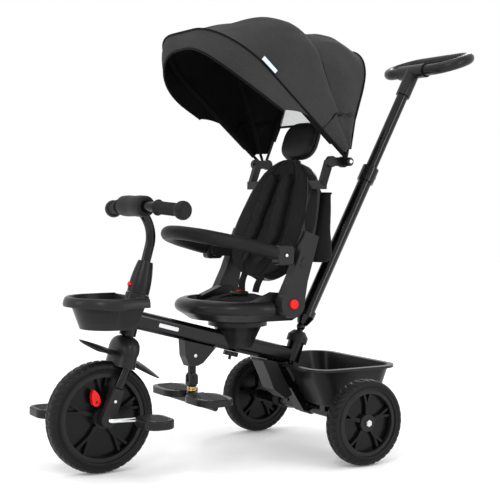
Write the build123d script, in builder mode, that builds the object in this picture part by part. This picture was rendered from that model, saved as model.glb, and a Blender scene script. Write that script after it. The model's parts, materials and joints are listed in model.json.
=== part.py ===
"""Children's push tricycle with a swivelling, reclining seat, canopy and parent handle.

Millimetres. +Z is up, the tricycle faces -Y, and +X is the child's left.
The origin is on the ground below the middle of the tricycle's bounding box.
"""
import os
from math import atan2, cos, degrees, radians, sin, tan

from build123d import *

os.makedirs("parts", exist_ok=True)

# ---------------------------------------------------------------- driving dimensions
WHEELBASE = 560.0           # front axle to rear axle
REAR_TRACK = 458.0          # between the rear tyres' centre planes
FRONT_WHEEL_R = 125.0
FRONT_TYRE_W = 46.0
FRONT_RIM_R = 99.0
REAR_WHEEL_R = 100.0
REAR_TYRE_W = 41.0
REAR_RIM_R = 77.0
STEER_TILT = 15.0           # steering axis leans back by this many degrees
RAKE = 17.5                 # front axle ahead of the steering axis
STEERER_R = 14.0
HEAD_BUSH_T = 2.0
HEAD_WALL = 3.0
HEAD_TUBE_R = STEERER_R + HEAD_BUSH_T + HEAD_WALL
STEM_R = 11.0
HEAD_BOTTOM = 188.0         # heights along the steering axis, from the front axle
HEAD_TOP = 285.0
TUBE_AT = 227.0             # where the main tube meets the head tube
SLEEVE_TOP = 359.0
TUBE_W = 30.0               # main tube section
TUBE_H = 42.0
TUBE_WALL = 2.0
HANDLE_TILT = 28.0          # push handle leans back
SOCKET_TILT = 20.0          # socket at the foot of the handle
KNUCKLE_AHEAD = 22.0        # ball of the handle knuckle, ahead of the rear axle
KNUCKLE_Z = 300.0
SOCKET_LENGTH = 88.0
OUTER_TUBE_R = 17.5
INNER_TUBE_R = 14.5
OUTER_TUBE_END = 447.0      # distances along the handle, from the knuckle
RING_AT = 733.0
HANDLE_DROP = 100.0         # how far the inner tube slides down
RING_WIDTH = 262.0          # push ring, along its bar's centre line
RING_DEPTH = 107.0
RING_BAR_R = 14.0
RING_RISE = 20.0            # push ring slopes up to the rear
SEAT_AHEAD = 205.0          # swivel axis ahead of the rear axle
SWIVEL_Z = 323.0
PAN_R = 150.0               # seat pan radius about the swivel axis
HINGE_AHEAD = 156.0         # recline hinge ahead of the rear axle
HINGE_Z = 373.0
ARM_OUT = 162.0             # outside of the backrest arms
ARM_W = 29.0
BACK_TILT = 19.5
BACK_TOP = 347.0            # along the backrest, from the hinge
GUARD_PIVOT = (183.0, 485.0)    # guard ring pivot: ahead of the rear axle, height
GUARD_R = 155.0
GUARD_FOAM_R = 16.0
GUARD_RISE = 14.0
CANOPY_PIVOT = (22.0, 700.0)    # canopy pivot: ahead of the rear axle, height
BASKET_RIM_Z = 214.5
BASKET_FLOOR_Z = 116.0
TRAY_RIM_Z = 391.0
TRAY_R = 84.0
CRANK_R = 75.0
CRANK_ROD_R = 5.5
PEDAL_SIZE = (92.0, 70.0, 20.0)
FOOTREST_AHEAD = 328.0
FOOTREST_Z = 156.0
FOOT_PAD_SIZE = (120.0, 88.0, 15.0)
FOOT_PAD_OUT = 80.0

RUN = 0.05                  # radial clearance of a running fit
GAP = 0.4                   # clearance between pieces that move past each other
SEAT_FIT = 0.02             # radial clearance of a piece fixed on another

# ---------------------------------------------------------------- places worked out from them
ring_reach = RING_DEPTH * cos(radians(RING_RISE)) + RING_BAR_R
handle_reach = RING_AT * sin(radians(HANDLE_TILT)) - KNUCKLE_AHEAD + ring_reach
REAR_Y = (WHEELBASE + FRONT_WHEEL_R - handle_reach) / 2
FRONT_Y = REAR_Y - WHEELBASE


def ahead(distance):
    """Y of a place that lies this far ahead of the rear axle."""
    return REAR_Y - distance


STEER = Plane(
    origin=(0, FRONT_Y + RAKE * cos(radians(STEER_TILT)), FRONT_WHEEL_R - RAKE * sin(radians(STEER_TILT))),
    x_dir=(1, 0, 0),
    z_dir=(0, sin(radians(STEER_TILT)), cos(radians(STEER_TILT))),
)
STEER_SIDE = Plane(origin=STEER.origin, x_dir=STEER.y_dir, z_dir=(1, 0, 0))

knuckle = Vector(0, ahead(KNUCKLE_AHEAD), KNUCKLE_Z)
SOCKET = Plane(origin=knuckle, x_dir=(1, 0, 0), z_dir=(0, sin(radians(SOCKET_TILT)), cos(radians(SOCKET_TILT))))
HANDLE = Plane(origin=knuckle, x_dir=(1, 0, 0), z_dir=(0, sin(radians(HANDLE_TILT)), cos(radians(HANDLE_TILT))))
RING = Plane(
    origin=knuckle + HANDLE.z_dir * RING_AT,
    x_dir=(1, 0, 0),
    z_dir=(0, -sin(radians(RING_RISE)), cos(radians(RING_RISE))),
)

tube_front = STEER.origin + STEER.z_dir * TUBE_AT
tube_rear = knuckle + SOCKET.z_dir * (-SOCKET_LENGTH + 12)
tube_slope = degrees(atan2(tube_front.Z - tube_rear.Z, tube_rear.Y - tube_front.Y))
TUBE = Plane(
    origin=tube_front,
    x_dir=(1, 0, 0),
    z_dir=(0, cos(radians(tube_slope)), -sin(radians(tube_slope))),
)
tube_length = (tube_rear - tube_front).length


def tube_z(y):
    """Height of the main tube's centre line at this Y."""
    return tube_front.Z - (y - tube_front.Y) * tan(radians(tube_slope))


half_tube = TUBE_H / 2 / cos(radians(tube_slope))

BACK = Plane(
    origin=(0, ahead(HINGE_AHEAD), HINGE_Z),
    x_dir=(1, 0, 0),
    z_dir=(0, -cos(radians(BACK_TILT)), sin(radians(BACK_TILT))),
)
BACK_SIDE = Plane(origin=BACK.origin, x_dir=BACK.y_dir, z_dir=(1, 0, 0))
SEAT_Y = ahead(SEAT_AHEAD)
GUARD_Y = ahead(GUARD_PIVOT[0])
GUARD = Plane(
    origin=(0, GUARD_Y, GUARD_PIVOT[1]),
    x_dir=(1, 0, 0),
    z_dir=(0, sin(radians(GUARD_RISE)), cos(radians(GUARD_RISE))),
)
CANOPY_Y = ahead(CANOPY_PIVOT[0])
CANOPY_Z = CANOPY_PIVOT[1]
AXLE_PLANE_FRONT = Plane(origin=(0, FRONT_Y, FRONT_WHEEL_R), x_dir=(1, 0, 0), z_dir=(0, -1, 0))


def finish(piece, name):
    """Label a finished piece and write it."""
    piece.part.label = name
    export_step(piece.part, f"parts/{name}.step")


def side_plane(x):
    """Plane seen from the child's left at this X: sketch coordinates are (Y, Z)."""
    return Plane.YZ.offset(x)


def wheel_plane(x, y, radius):
    """Section plane of a wheel: sketch coordinates are (X from the wheel's middle, radius)."""
    return Plane(origin=(x, y, radius), x_dir=(1, 0, 0), z_dir=(0, -1, 0))


# ---------------------------------------------------------------- wheels
def make_tyre(x, y, radius, width, rim_radius):
    """Foam tyre: flat seat on the rim, bulging sidewalls and a round crown."""
    half = width / 2
    shoulder = radius * 0.9
    with BuildPart() as tyre:
        with BuildSketch(wheel_plane(x, y, radius)):
            with BuildLine():
                seat = Line((-half + 4, rim_radius), (half - 4, rim_radius))
                right = Line(seat @ 1, (half, rim_radius + 6))
                wall = Line(right @ 1, (half, shoulder))
                crown = ThreePointArc(wall @ 1, (0, radius), (-half, shoulder))
                left = Line(crown @ 1, (-half, rim_radius + 6))
                Line(left @ 1, seat @ 0)
            make_face()
        revolve(axis=Axis((x, y, radius), (1, 0, 0)))
    return tyre


def make_rim(x, y, radius, rim_radius, width, hub_radius, hub_half, bore):
    """Moulded wheel: outer band, thin web, hub and five forked spokes."""
    band_in = rim_radius - 9
    spoke_half = width * SPOKE_SHARE
    face = Plane(origin=(x, y, radius), x_dir=(0, 1, 0), z_dir=(1, 0, 0))
    with BuildPart() as rim:
        with BuildSketch(face.offset(-width / 2 + 4)):
            Circle(rim_radius)
            Circle(band_in, mode=Mode.SUBTRACT)
        extrude(amount=width - 8)
        with BuildSketch(face.offset(-2.5)):
            Circle(band_in + 1)
        extrude(amount=5)
        with BuildSketch(face.offset(-hub_half)):
            Circle(hub_radius)
        extrude(amount=2 * hub_half)
        with BuildSketch(face.offset(-spoke_half)):
            fork_at = hub_radius + (band_in - hub_radius) * 0.4
            with PolarLocations(0, 5, start_angle=90):
                with Locations(((hub_radius + fork_at) / 2, 0)):
                    Rectangle(fork_at - hub_radius + 6, 9)
            for turn in (-16, 16):
                with PolarLocations(0, 5, start_angle=90):
                    with Locations(Location((fork_at - 3, 0), turn)):
                        Rectangle(band_in - fork_at + 8, 6, align=(Align.MIN, Align.CENTER))
            Circle(rim_radius - 3, mode=Mode.INTERSECT)
        extrude(amount=2 * spoke_half)
        with BuildSketch(face.offset(-hub_half)):
            Circle(bore)
        extrude(amount=2 * hub_half, mode=Mode.SUBTRACT)
    return rim.part


FRONT_HUB_HALF = 22.0
REAR_HUB_HALF = 14.0
REAR_ROD_R = 5.0
SPOKE_SHARE = 0.27          # spokes stand this share of the tyre's width either side of the middle
front_tyre = make_tyre(0, FRONT_Y, FRONT_WHEEL_R, FRONT_TYRE_W, FRONT_RIM_R)
finish(front_tyre, "front_tyre")
for side, hand in ((1, "left"), (-1, "right")):
    wheel_x = side * REAR_TRACK / 2
    tyre = make_tyre(wheel_x, REAR_Y, REAR_WHEEL_R, REAR_TYRE_W, REAR_RIM_R)
    finish(tyre, f"rear_tyre_{hand}")
    with BuildPart() as rim:
        add(make_rim(wheel_x, REAR_Y, REAR_WHEEL_R, REAR_RIM_R, REAR_TYRE_W, 20, REAR_HUB_HALF, REAR_ROD_R + RUN))
    finish(rim, f"rear_rim_{hand}")

# ---------------------------------------------------------------- clutch lever on the front wheel
CLUTCH_AT = (-19.0, 37.0)   # pivot, from the front axle
CLUTCH_STUD_R = 3.0
clutch_top = FRONT_TYRE_W / 2 + 1.5
spoke_face = FRONT_TYRE_W * SPOKE_SHARE
CLUTCH_FACE = Plane(
    origin=(0, FRONT_Y + CLUTCH_AT[0], FRONT_WHEEL_R + CLUTCH_AT[1]),
    x_dir=(0, 1, 0),
    z_dir=(1, 0, 0),
)
with BuildPart() as front_rim:
    add(make_rim(0, FRONT_Y, FRONT_WHEEL_R, FRONT_RIM_R, FRONT_TYRE_W, 24, FRONT_HUB_HALF, CRANK_ROD_R + RUN))
    with BuildSketch(CLUTCH_FACE.offset(1)):
        Circle(CLUTCH_STUD_R + 4)
    extrude(amount=spoke_face - 1)
    with BuildSketch(CLUTCH_FACE.offset(1)):
        Circle(CLUTCH_STUD_R)
    extrude(amount=clutch_top - 2)
finish(front_rim, "front_rim")
with BuildPart() as clutch_lever:
    with BuildSketch(CLUTCH_FACE.offset(spoke_face + GAP)):
        with BuildLine():
            tip = (-7, 28)
            low = ThreePointArc((-10, 2), (0, -9), (9, 3))
            Spline(low @ 1, (4, 18), tip)
            Spline(tip, (-11, 18), low @ 0)
        make_face()
    extrude(amount=clutch_top - spoke_face - GAP)
    with BuildSketch(CLUTCH_FACE.offset(spoke_face)):
        Circle(CLUTCH_STUD_R + RUN)
    extrude(amount=clutch_top, mode=Mode.SUBTRACT)
finish(clutch_lever, "clutch_lever")

# ---------------------------------------------------------------- crank and pedals
ARM_IN_X = 57.0
SPINDLE_IN_X = 65.0
pedal_in_x = SPINDLE_IN_X + CRANK_ROD_R + 1.5
pedal_mid_x = pedal_in_x + PEDAL_SIZE[0] / 2
spindle_end_x = pedal_in_x + PEDAL_SIZE[0] - 6
with BuildPart() as crank:
    with BuildLine(Plane.XY.offset(FRONT_WHEEL_R)) as crank_path:
        FilletPolyline(
            (-spindle_end_x, FRONT_Y - CRANK_R),
            (-SPINDLE_IN_X, FRONT_Y - CRANK_R),
            (-ARM_IN_X, FRONT_Y),
            (ARM_IN_X, FRONT_Y),
            (SPINDLE_IN_X, FRONT_Y + CRANK_R),
            (spindle_end_x, FRONT_Y + CRANK_R),
            radius=7,
        )
    with BuildSketch(Plane(origin=crank_path.line @ 0, z_dir=(1, 0, 0))):
        Circle(CRANK_ROD_R)
    sweep()
finish(crank, "crank")

for side, hand in ((1, "left"), (-1, "right")):
    pedal_y = FRONT_Y + side * CRANK_R
    with BuildPart() as pedal:
        with BuildSketch(Plane.XY.offset(FRONT_WHEEL_R - PEDAL_SIZE[2] / 2)):
            with Locations((side * pedal_mid_x, pedal_y)):
                RectangleRounded(PEDAL_SIZE[0], PEDAL_SIZE[1], PEDAL_SIZE[1] * 0.42)
        extrude(amount=PEDAL_SIZE[2])
        fillet(pedal.faces().sort_by(Axis.Z)[-1].edges(), 4)
        fillet(pedal.faces().sort_by(Axis.Z)[0].edges(), 4)
        with BuildSketch(Plane(origin=(side * (pedal_in_x - 1), pedal_y, FRONT_WHEEL_R), z_dir=(side, 0, 0))):
            Circle(CRANK_ROD_R + RUN)
        extrude(amount=spindle_end_x - pedal_in_x + 2, mode=Mode.SUBTRACT)
    finish(pedal, f"pedal_{hand}")

# ---------------------------------------------------------------- fork
LEG_X = 38.0
LEG_R = 10.0
CROWN_Z = 160.0             # underside of the steel crown, along the steering axis
CROWN_H = 10.0
BOOT_TOP = 70.0
BOOT_HALF = 11.0
LEG_BEND_Z = 118.0          # the legs run straight down to here, then forward
boot_top_y = -10.0
leg_plane = Plane(origin=STEER.origin, x_dir=STEER.y_dir, z_dir=(1, 0, 0))
with BuildPart() as fork_legs:
    for x in (-LEG_X, LEG_X):
        with BuildLine(leg_plane.offset(x)) as leg_line:
            leg_curve = FilletPolyline((0, CROWN_Z + 2), (0, LEG_BEND_Z), (boot_top_y, BOOT_TOP + 2.3), radius=60)
        with BuildSketch(Plane(origin=leg_curve @ 0, z_dir=leg_curve % 0)):
            Circle(LEG_R)
        sweep(path=leg_curve)
with BuildPart() as fork:
    with BuildSketch(STEER.offset(CROWN_Z)):
        Circle(STEERER_R)
    extrude(amount=SLEEVE_TOP - 20 - CROWN_Z)
    with BuildSketch(STEER.offset(CROWN_Z)):
        RectangleRounded(2 * (LEG_X + LEG_R) + 4, 34, 14)
    extrude(amount=CROWN_H)
    add(fork_legs.part)
    with BuildSketch(STEER.offset(CROWN_Z - 1)):
        Circle(STEM_R + RUN)
    extrude(amount=SLEEVE_TOP, mode=Mode.SUBTRACT)
finish(fork, "fork")

with BuildPart() as fork_boots:
    for x in (-LEG_X, LEG_X):
        with BuildSketch(leg_plane.offset(x - BOOT_HALF)):
            with BuildLine():
                edge = Polyline(
                    (-RAKE - 16, 6),
                    (boot_top_y - 13, BOOT_TOP),
                    (boot_top_y + 13, BOOT_TOP),
                    (-RAKE + 17, 6),
                )
                ThreePointArc(edge @ 1, (-RAKE, -18), edge @ 0)
            make_face()
        extrude(amount=2 * BOOT_HALF)
    for x in (-LEG_X - BOOT_HALF, -LEG_X + BOOT_HALF, LEG_X - BOOT_HALF, LEG_X + BOOT_HALF):
        side_face = fork_boots.faces().filter_by(Axis.X).sort_by(lambda face: abs(face.center().X - x))[0]
        fillet(side_face.edges(), 3.5)
    with BuildSketch(side_plane(-60)):
        with Locations((FRONT_Y, FRONT_WHEEL_R)):
            Circle(CRANK_ROD_R + RUN)
    extrude(amount=120, mode=Mode.SUBTRACT)
finish(fork_boots, "fork_boots")

MUD_T = 2.5
MUD_W = 60.0
mud_mid = CROWN_Z - 14      # where the mudguard crosses the steering axis
with BuildPart() as crown_cover:
    with BuildSketch(STEER.offset(CROWN_Z - 28)):
        RectangleRounded(2 * (LEG_X + LEG_R) + 12, 40, 18)
    with BuildSketch(STEER.offset(CROWN_Z + 6)):
        RectangleRounded(2 * (LEG_X + LEG_R) + 8, 44, 20)
    with BuildSketch(STEER.offset(HEAD_BOTTOM - 2)):
        RectangleRounded(46, 42, 20)
    loft()
    with BuildSketch(STEER.offset(CROWN_Z - 30)):
        Rectangle(MUD_W + 1, 80)
    extrude(amount=23, mode=Mode.SUBTRACT)
    with BuildSketch(STEER.offset(CROWN_Z - 6)):
        RectangleRounded(2 * (LEG_X + LEG_R) + 5, 35, 14)
    extrude(amount=CROWN_H + 7, mode=Mode.SUBTRACT)
    with BuildSketch(STEER.offset(CROWN_Z - 40)):
        with Locations((-LEG_X, 0), (LEG_X, 0)):
            Circle(LEG_R + 0.1)
    extrude(amount=36, mode=Mode.SUBTRACT)
    with BuildSketch(STEER.offset(CROWN_Z)):
        Circle(STEERER_R + 0.1)
    extrude(amount=60, mode=Mode.SUBTRACT)
finish(crown_cover, "crown_cover")

# mudguard: two pointed wings below the crown, arched over the tyre
with BuildPart() as mudguard:
    with BuildSketch(STEER_SIDE.offset(-MUD_W / 2)):
        with BuildLine():
            top = Spline((-112, mud_mid + 10), (-60, mud_mid + 8), (0, mud_mid), (60, mud_mid - 14), (106, mud_mid - 34))
            end = Line(top @ 1, top @ 1 + Vector(0, -MUD_T))
            under = Spline(
                end @ 1,
                (60, mud_mid - 14 - MUD_T),
                (0, mud_mid - MUD_T),
                (-60, mud_mid + 8 - MUD_T),
                (-112, mud_mid + 10 - MUD_T),
            )
            Line(under @ 1, top @ 0)
        make_face()
    extrude(amount=MUD_W)
    with BuildSketch(STEER.offset(mud_mid - 60)):
        with BuildLine():
            near = ThreePointArc((0, -113), (MUD_W / 2, -6), (0, 107))
            ThreePointArc(near @ 1, (-MUD_W / 2, -6), near @ 0)
        make_face()
    extrude(amount=100, mode=Mode.INTERSECT)
    with BuildSketch(STEER.offset(mud_mid - 60)):
        with Locations((-LEG_X, 0), (LEG_X, 0)):
            Circle(LEG_R + 0.2)
    extrude(amount=100, mode=Mode.SUBTRACT)
finish(mudguard, "mudguard")

# ---------------------------------------------------------------- head tube, bushes and sleeve
with BuildPart() as head_tube:
    with BuildSketch(STEER.offset(HEAD_BOTTOM)):
        Circle(HEAD_TUBE_R)
        Circle(HEAD_TUBE_R - HEAD_WALL, mode=Mode.SUBTRACT)
    extrude(amount=HEAD_TOP - HEAD_BOTTOM)
finish(head_tube, "head_tube")
with BuildPart() as head_bushes:
    for level in (HEAD_BOTTOM, HEAD_TOP - 18):
        with BuildSketch(STEER.offset(level)):
            Circle(HEAD_TUBE_R - HEAD_WALL)
            Circle(STEERER_R + RUN, mode=Mode.SUBTRACT)
        extrude(amount=18)
finish(head_bushes, "head_bushes")
sleeve_bottom = HEAD_TOP + GAP
BUTTON_AT = 301.0
BUTTON_R = 6.0
with BuildPart() as sleeve:
    with BuildSketch(STEER.offset(sleeve_bottom)):
        Circle(25)
    with BuildSketch(STEER.offset(sleeve_bottom + 16)):
        Circle(25)
    with BuildSketch(STEER.offset(SLEEVE_TOP)):
        Circle(17)
    loft()
    with BuildSketch(STEER.offset(sleeve_bottom)):
        Circle(STEERER_R)
    extrude(amount=SLEEVE_TOP - 20 - sleeve_bottom, mode=Mode.SUBTRACT)
    with BuildSketch(STEER.offset(sleeve_bottom)):
        Circle(STEM_R + RUN)
    extrude(amount=SLEEVE_TOP - sleeve_bottom + 1, mode=Mode.SUBTRACT)
    with BuildSketch(Plane(origin=STEER.origin + STEER.z_dir * BUTTON_AT, z_dir=-STEER.y_dir)):
        Circle(BUTTON_R + GAP)
    extrude(amount=40, both=False, mode=Mode.SUBTRACT)
finish(sleeve, "stem_sleeve")
with BuildPart() as stem_button:
    with BuildSketch(Plane(origin=STEER.origin + STEER.z_dir * BUTTON_AT - STEER.y_dir * 18, z_dir=-STEER.y_dir)):
        Circle(BUTTON_R)
    extrude(amount=11)
    fillet(stem_button.faces().sort_by(Axis.Y)[0].edges(), 2)
finish(stem_button, "stem_button")

# ---------------------------------------------------------------- handlebar
BEND_AT = 395.0
BEND_R = 80.0
BEND_ANGLE = 75.0
bar_y = -BEND_R * (1 - cos(radians(BEND_ANGLE)))
bar_z = BEND_AT + BEND_R * sin(radians(BEND_ANGLE))
BAR_SWEEP = 30.0            # the grips' ends sit this far behind the bar's middle
BAR_HALF = 172.0
KNOB_R = 21.0
BAR_BEND_X = 62.0
bar_centre = STEER.origin + STEER.y_dir * bar_y + STEER.z_dir * bar_z
bar_reach = Vector(BAR_HALF - BAR_BEND_X, BAR_SWEEP, 0)
grip_dir = bar_reach.normalized()
bar_tip = Vector(BAR_BEND_X, 0, 0) + grip_dir * (bar_reach.length - 6)
with BuildPart() as handlebar:
    with BuildLine(STEER_SIDE):
        riser = Line((0, 255), (0, BEND_AT))
        CenterArc((-BEND_R, BEND_AT), BEND_R, 0, BEND_ANGLE)
    with BuildSketch(STEER.offset(255)):
        Circle(STEM_R)
    sweep()
    bar_plane = Plane(origin=bar_centre, x_dir=(1, 0, 0), z_dir=STEER.z_dir)
    with BuildLine(bar_plane):
        bar_line = FilletPolyline(
            (-bar_tip.X, bar_tip.Y),
            (-BAR_BEND_X, 0),
            (BAR_BEND_X, 0),
            (bar_tip.X, bar_tip.Y),
            radius=45,
        )
    with BuildSketch(Plane(origin=bar_line @ 0, z_dir=bar_line % 0)):
        Circle(STEM_R)
    sweep(path=bar_line)
finish(handlebar, "handlebar")

PAD_HALF = 58.0
PAD_R = 24.0
with BuildPart() as bar_pad:
    with BuildSketch(Plane(origin=bar_centre - Vector(PAD_HALF, 0, 0), z_dir=(1, 0, 0))):
        Circle(PAD_R)
    extrude(amount=2 * PAD_HALF)
    fillet(bar_pad.edges().filter_by(GeomType.CIRCLE), 7)
    add(handlebar.part, mode=Mode.SUBTRACT)
finish(bar_pad, "handlebar_pad")

GRIP_FROM = 30.0            # from the bend, along the swept end
grip_length = bar_reach.length - GRIP_FROM
bar_end = grip_length - 6
bore_r = STEM_R + SEAT_FIT
with BuildPart() as grips:
    for side in (1, -1):
        along = Vector(side * grip_dir.X, 0, 0) + STEER.y_dir * grip_dir.Y
        start = bar_centre + Vector(side * BAR_BEND_X, 0, 0) + along * GRIP_FROM
        with BuildSketch(Plane(origin=start, x_dir=STEER.z_dir, z_dir=STEER.z_dir.cross(along))):
            with BuildLine():
                side_line = Polyline(
                    (0, bar_end + 1),
                    (bore_r, bar_end + 1),
                    (bore_r, 0),
                    (15, 0),
                    (18, 5),
                    (14.5, 12),
                    (14.5, grip_length - 14),
                    (19, grip_length - 11),
                )
                round_end = ThreePointArc(side_line @ 1, (KNOB_R, grip_length - 1), (14, grip_length + 10))
                cap = Line(round_end @ 1, (0, grip_length + 12))
                Line(cap @ 1, side_line @ 0)
            make_face()
        revolve(axis=Axis(start, along))
finish(grips, "grips")

# ---------------------------------------------------------------- main frame
rear_cap_r = 20.0           # handle socket tube
with BuildPart() as main_tube:
    with BuildSketch(TUBE):
        RectangleRounded(TUBE_W, TUBE_H, 12)
        RectangleRounded(TUBE_W - 2 * TUBE_WALL, TUBE_H - 2 * TUBE_WALL, 10, mode=Mode.SUBTRACT)
    extrude(amount=tube_length)
    with BuildSketch(STEER.offset(HEAD_BOTTOM - 20)):
        Circle(HEAD_TUBE_R)
    extrude(amount=160, mode=Mode.SUBTRACT)
    with BuildSketch(SOCKET.offset(-SOCKET_LENGTH - 20)):
        Circle(rear_cap_r)
    extrude(amount=120, mode=Mode.SUBTRACT)
finish(main_tube, "main_tube")

CAP_R = 25.5
RELEASE_R = 4.5
release_at = knuckle - SOCKET.z_dir * 28 + SOCKET.y_dir * 12
SPINDLE_R = 8.0
with BuildPart() as handle_socket:
    with BuildSketch(SOCKET.offset(-SOCKET_LENGTH)):
        Circle(rear_cap_r)
        Circle(rear_cap_r - 3, mode=Mode.SUBTRACT)
    extrude(amount=SOCKET_LENGTH - 34)
    with BuildSketch(SOCKET.offset(-SOCKET_LENGTH)):
        Circle(rear_cap_r - 2)
        Circle(SPINDLE_R + RUN, mode=Mode.SUBTRACT)
    extrude(amount=16)
finish(handle_socket, "handle_socket")
with BuildPart() as socket_cap:
    with BuildSketch(SOCKET.offset(-40)):
        Circle(CAP_R)
    with BuildSketch(SOCKET.offset(-24)):
        Circle(CAP_R)
    loft(ruled=True)
    with BuildSketch(SOCKET.offset(-24)):
        Circle(CAP_R)
    with BuildSketch(SOCKET.offset(-12)):
        Circle(15)
    loft(ruled=True)
    with BuildSketch(SOCKET.offset(-40)):
        Circle(rear_cap_r)
    extrude(amount=6, mode=Mode.SUBTRACT)
    with BuildSketch(SOCKET.offset(-40)):
        Circle(SPINDLE_R + RUN)
    extrude(amount=40, mode=Mode.SUBTRACT)
    with BuildSketch(Plane(origin=release_at, z_dir=SOCKET.y_dir)):
        Circle(RELEASE_R + GAP)
    extrude(amount=30, mode=Mode.SUBTRACT)
finish(socket_cap, "socket_cap")
with BuildPart() as handle_release_button:
    with BuildSketch(Plane(origin=release_at + SOCKET.y_dir * 4, z_dir=SOCKET.y_dir)):
        Circle(RELEASE_R)
    extrude(amount=13)
finish(handle_release_button, "handle_release_button")

# rear leg from the socket down to the axle tube, and the housing over the steering lever
AXLE_TUBE_R = 12.0
axle_tube_half = REAR_TRACK / 2 - REAR_HUB_HALF - 3
BRACKET_X = (-80, 80)
with BuildPart() as rear_axle_tube:
    with BuildSketch(side_plane(-axle_tube_half)):
        with Locations((REAR_Y, REAR_WHEEL_R)):
            Circle(AXLE_TUBE_R)
    extrude(amount=2 * axle_tube_half)
    for x in BRACKET_X:
        with BuildSketch(side_plane(x - 10)):
            with Locations((REAR_Y, REAR_WHEEL_R)):
                Rectangle(24, BASKET_FLOOR_Z - REAR_WHEEL_R, align=(Align.CENTER, Align.MIN))
        extrude(amount=20)
    with BuildSketch(side_plane(-axle_tube_half - 1)):
        with Locations((REAR_Y, REAR_WHEEL_R)):
            Circle(REAR_ROD_R + RUN)
    extrude(amount=2 * axle_tube_half + 2, mode=Mode.SUBTRACT)
finish(rear_axle_tube, "rear_axle_tube")
hub_face = REAR_TRACK / 2 + REAR_HUB_HALF
with BuildPart() as rear_axle:
    with BuildSketch(side_plane(-hub_face - 7)):
        with Locations((REAR_Y, REAR_WHEEL_R)):
            Circle(REAR_ROD_R)
    extrude(amount=2 * hub_face + 14)
    for side in (1, -1):
        with BuildSketch(Plane(origin=(side * (hub_face + GAP), REAR_Y, REAR_WHEEL_R), z_dir=(side, 0, 0))):
            RegularPolygon(8, 6)
        extrude(amount=5)
finish(rear_axle, "rear_axle")

leg_top_y = ahead(86)
leg_top_z = tube_z(leg_top_y) - half_tube
LEG_T = 10.0
with BuildPart() as rear_leg:
    with BuildSketch(side_plane(-20)):
        with BuildLine():
            Polyline(
                (leg_top_y - 22, tube_z(leg_top_y - 22) - half_tube),
                (leg_top_y, leg_top_z),
                (REAR_Y - AXLE_TUBE_R - 1, REAR_WHEEL_R + 4),
                (REAR_Y - AXLE_TUBE_R - 1, REAR_WHEEL_R - 8),
                (REAR_Y - AXLE_TUBE_R - LEG_T, REAR_WHEEL_R - 8),
                close=True,
            )
        make_face()
    extrude(amount=40)
    with BuildSketch(side_plane(-20)):
        with Locations((REAR_Y, REAR_WHEEL_R)):
            Circle(AXLE_TUBE_R + 4)
    extrude(amount=40)
    with BuildSketch(side_plane(-20)):
        with Locations((REAR_Y, REAR_WHEEL_R)):
            Circle(AXLE_TUBE_R)
    extrude(amount=40, mode=Mode.SUBTRACT)
finish(rear_leg, "rear_leg")

housing_top = ahead(128)
with BuildPart() as linkage_housing:
    with BuildSketch(side_plane(-26)):
        with BuildLine():
            Polyline(
                (ahead(152), tube_z(ahead(152)) - half_tube - 1),
                (leg_top_y - 24, tube_z(leg_top_y - 24) - half_tube - 1),
                (ahead(62), REAR_WHEEL_R + 38),
                (ahead(82), REAR_WHEEL_R + 30),
                (ahead(116), REAR_WHEEL_R + 56),
                (ahead(128), REAR_WHEEL_R + 84),
                close=True,
            )
        make_face()
    extrude(amount=52)
    fillet(linkage_housing.edges().filter_by(Axis.X), 5)
    add(rear_leg.part, mode=Mode.SUBTRACT)
    add(main_tube.part, mode=Mode.SUBTRACT)
finish(linkage_housing, "linkage_housing")

# ---------------------------------------------------------------- rear basket
BASKET_T = 3.0
RIM_OUT = 12.0
basket_rim_mid = ahead(-38)
basket_floor_mid = ahead(-62)
with BuildPart() as basket:
    with BuildSketch(Plane.XY.offset(BASKET_FLOOR_Z)):
        with Locations((0, basket_floor_mid)):
            RectangleRounded(240, 152, 34)
    with BuildSketch(Plane.XY.offset(BASKET_RIM_Z)):
        with Locations((0, basket_rim_mid)):
            RectangleRounded(312, 230, 46)
    loft()
    with BuildSketch(Plane.XY.offset(BASKET_RIM_Z - 6)):
        with Locations((0, basket_rim_mid)):
            RectangleRounded(312 + 2 * RIM_OUT, 230 + 2 * RIM_OUT, 46 + RIM_OUT)
    extrude(amount=6)
    with BuildSketch(Plane.XY.offset(BASKET_FLOOR_Z + BASKET_T)):
        with Locations((0, basket_floor_mid)):
            RectangleRounded(240 - 2 * BASKET_T, 152 - 2 * BASKET_T, 34 - BASKET_T)
    with BuildSketch(Plane.XY.offset(BASKET_RIM_Z + 0.1)):
        with Locations((0, basket_rim_mid)):
            RectangleRounded(312 - 2 * BASKET_T, 230 - 2 * BASKET_T, 46 - BASKET_T)
    loft(mode=Mode.SUBTRACT)
    with BuildSketch(SOCKET.offset(-SOCKET_LENGTH - 60)):
        Circle(rear_cap_r + 4)
    extrude(amount=140, mode=Mode.SUBTRACT)
    add(rear_leg.part, mode=Mode.SUBTRACT)
finish(basket, "rear_basket")
# ---------------------------------------------------------------- brake pedal
BRAKE_X = -120.0
with BuildPart() as brake_pedal:
    with BuildSketch(side_plane(BRAKE_X - 12)):
        with Locations((REAR_Y, REAR_WHEEL_R)):
            Circle(AXLE_TUBE_R + 4)
        with BuildLine():
            Polyline(
                (REAR_Y - 10, REAR_WHEEL_R - 8),
                (REAR_Y + 6, REAR_WHEEL_R - 10),
                (REAR_Y + 52, REAR_WHEEL_R - 22),
                (REAR_Y + 52, REAR_WHEEL_R - 27),
                (REAR_Y + 4, REAR_WHEEL_R - 19),
                (REAR_Y - 10, REAR_WHEEL_R - 14),
                close=True,
            )
        make_face()
        with Locations((REAR_Y, REAR_WHEEL_R)):
            Circle(AXLE_TUBE_R + RUN, mode=Mode.SUBTRACT)
    extrude(amount=24)
finish(brake_pedal, "brake_pedal")

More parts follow.
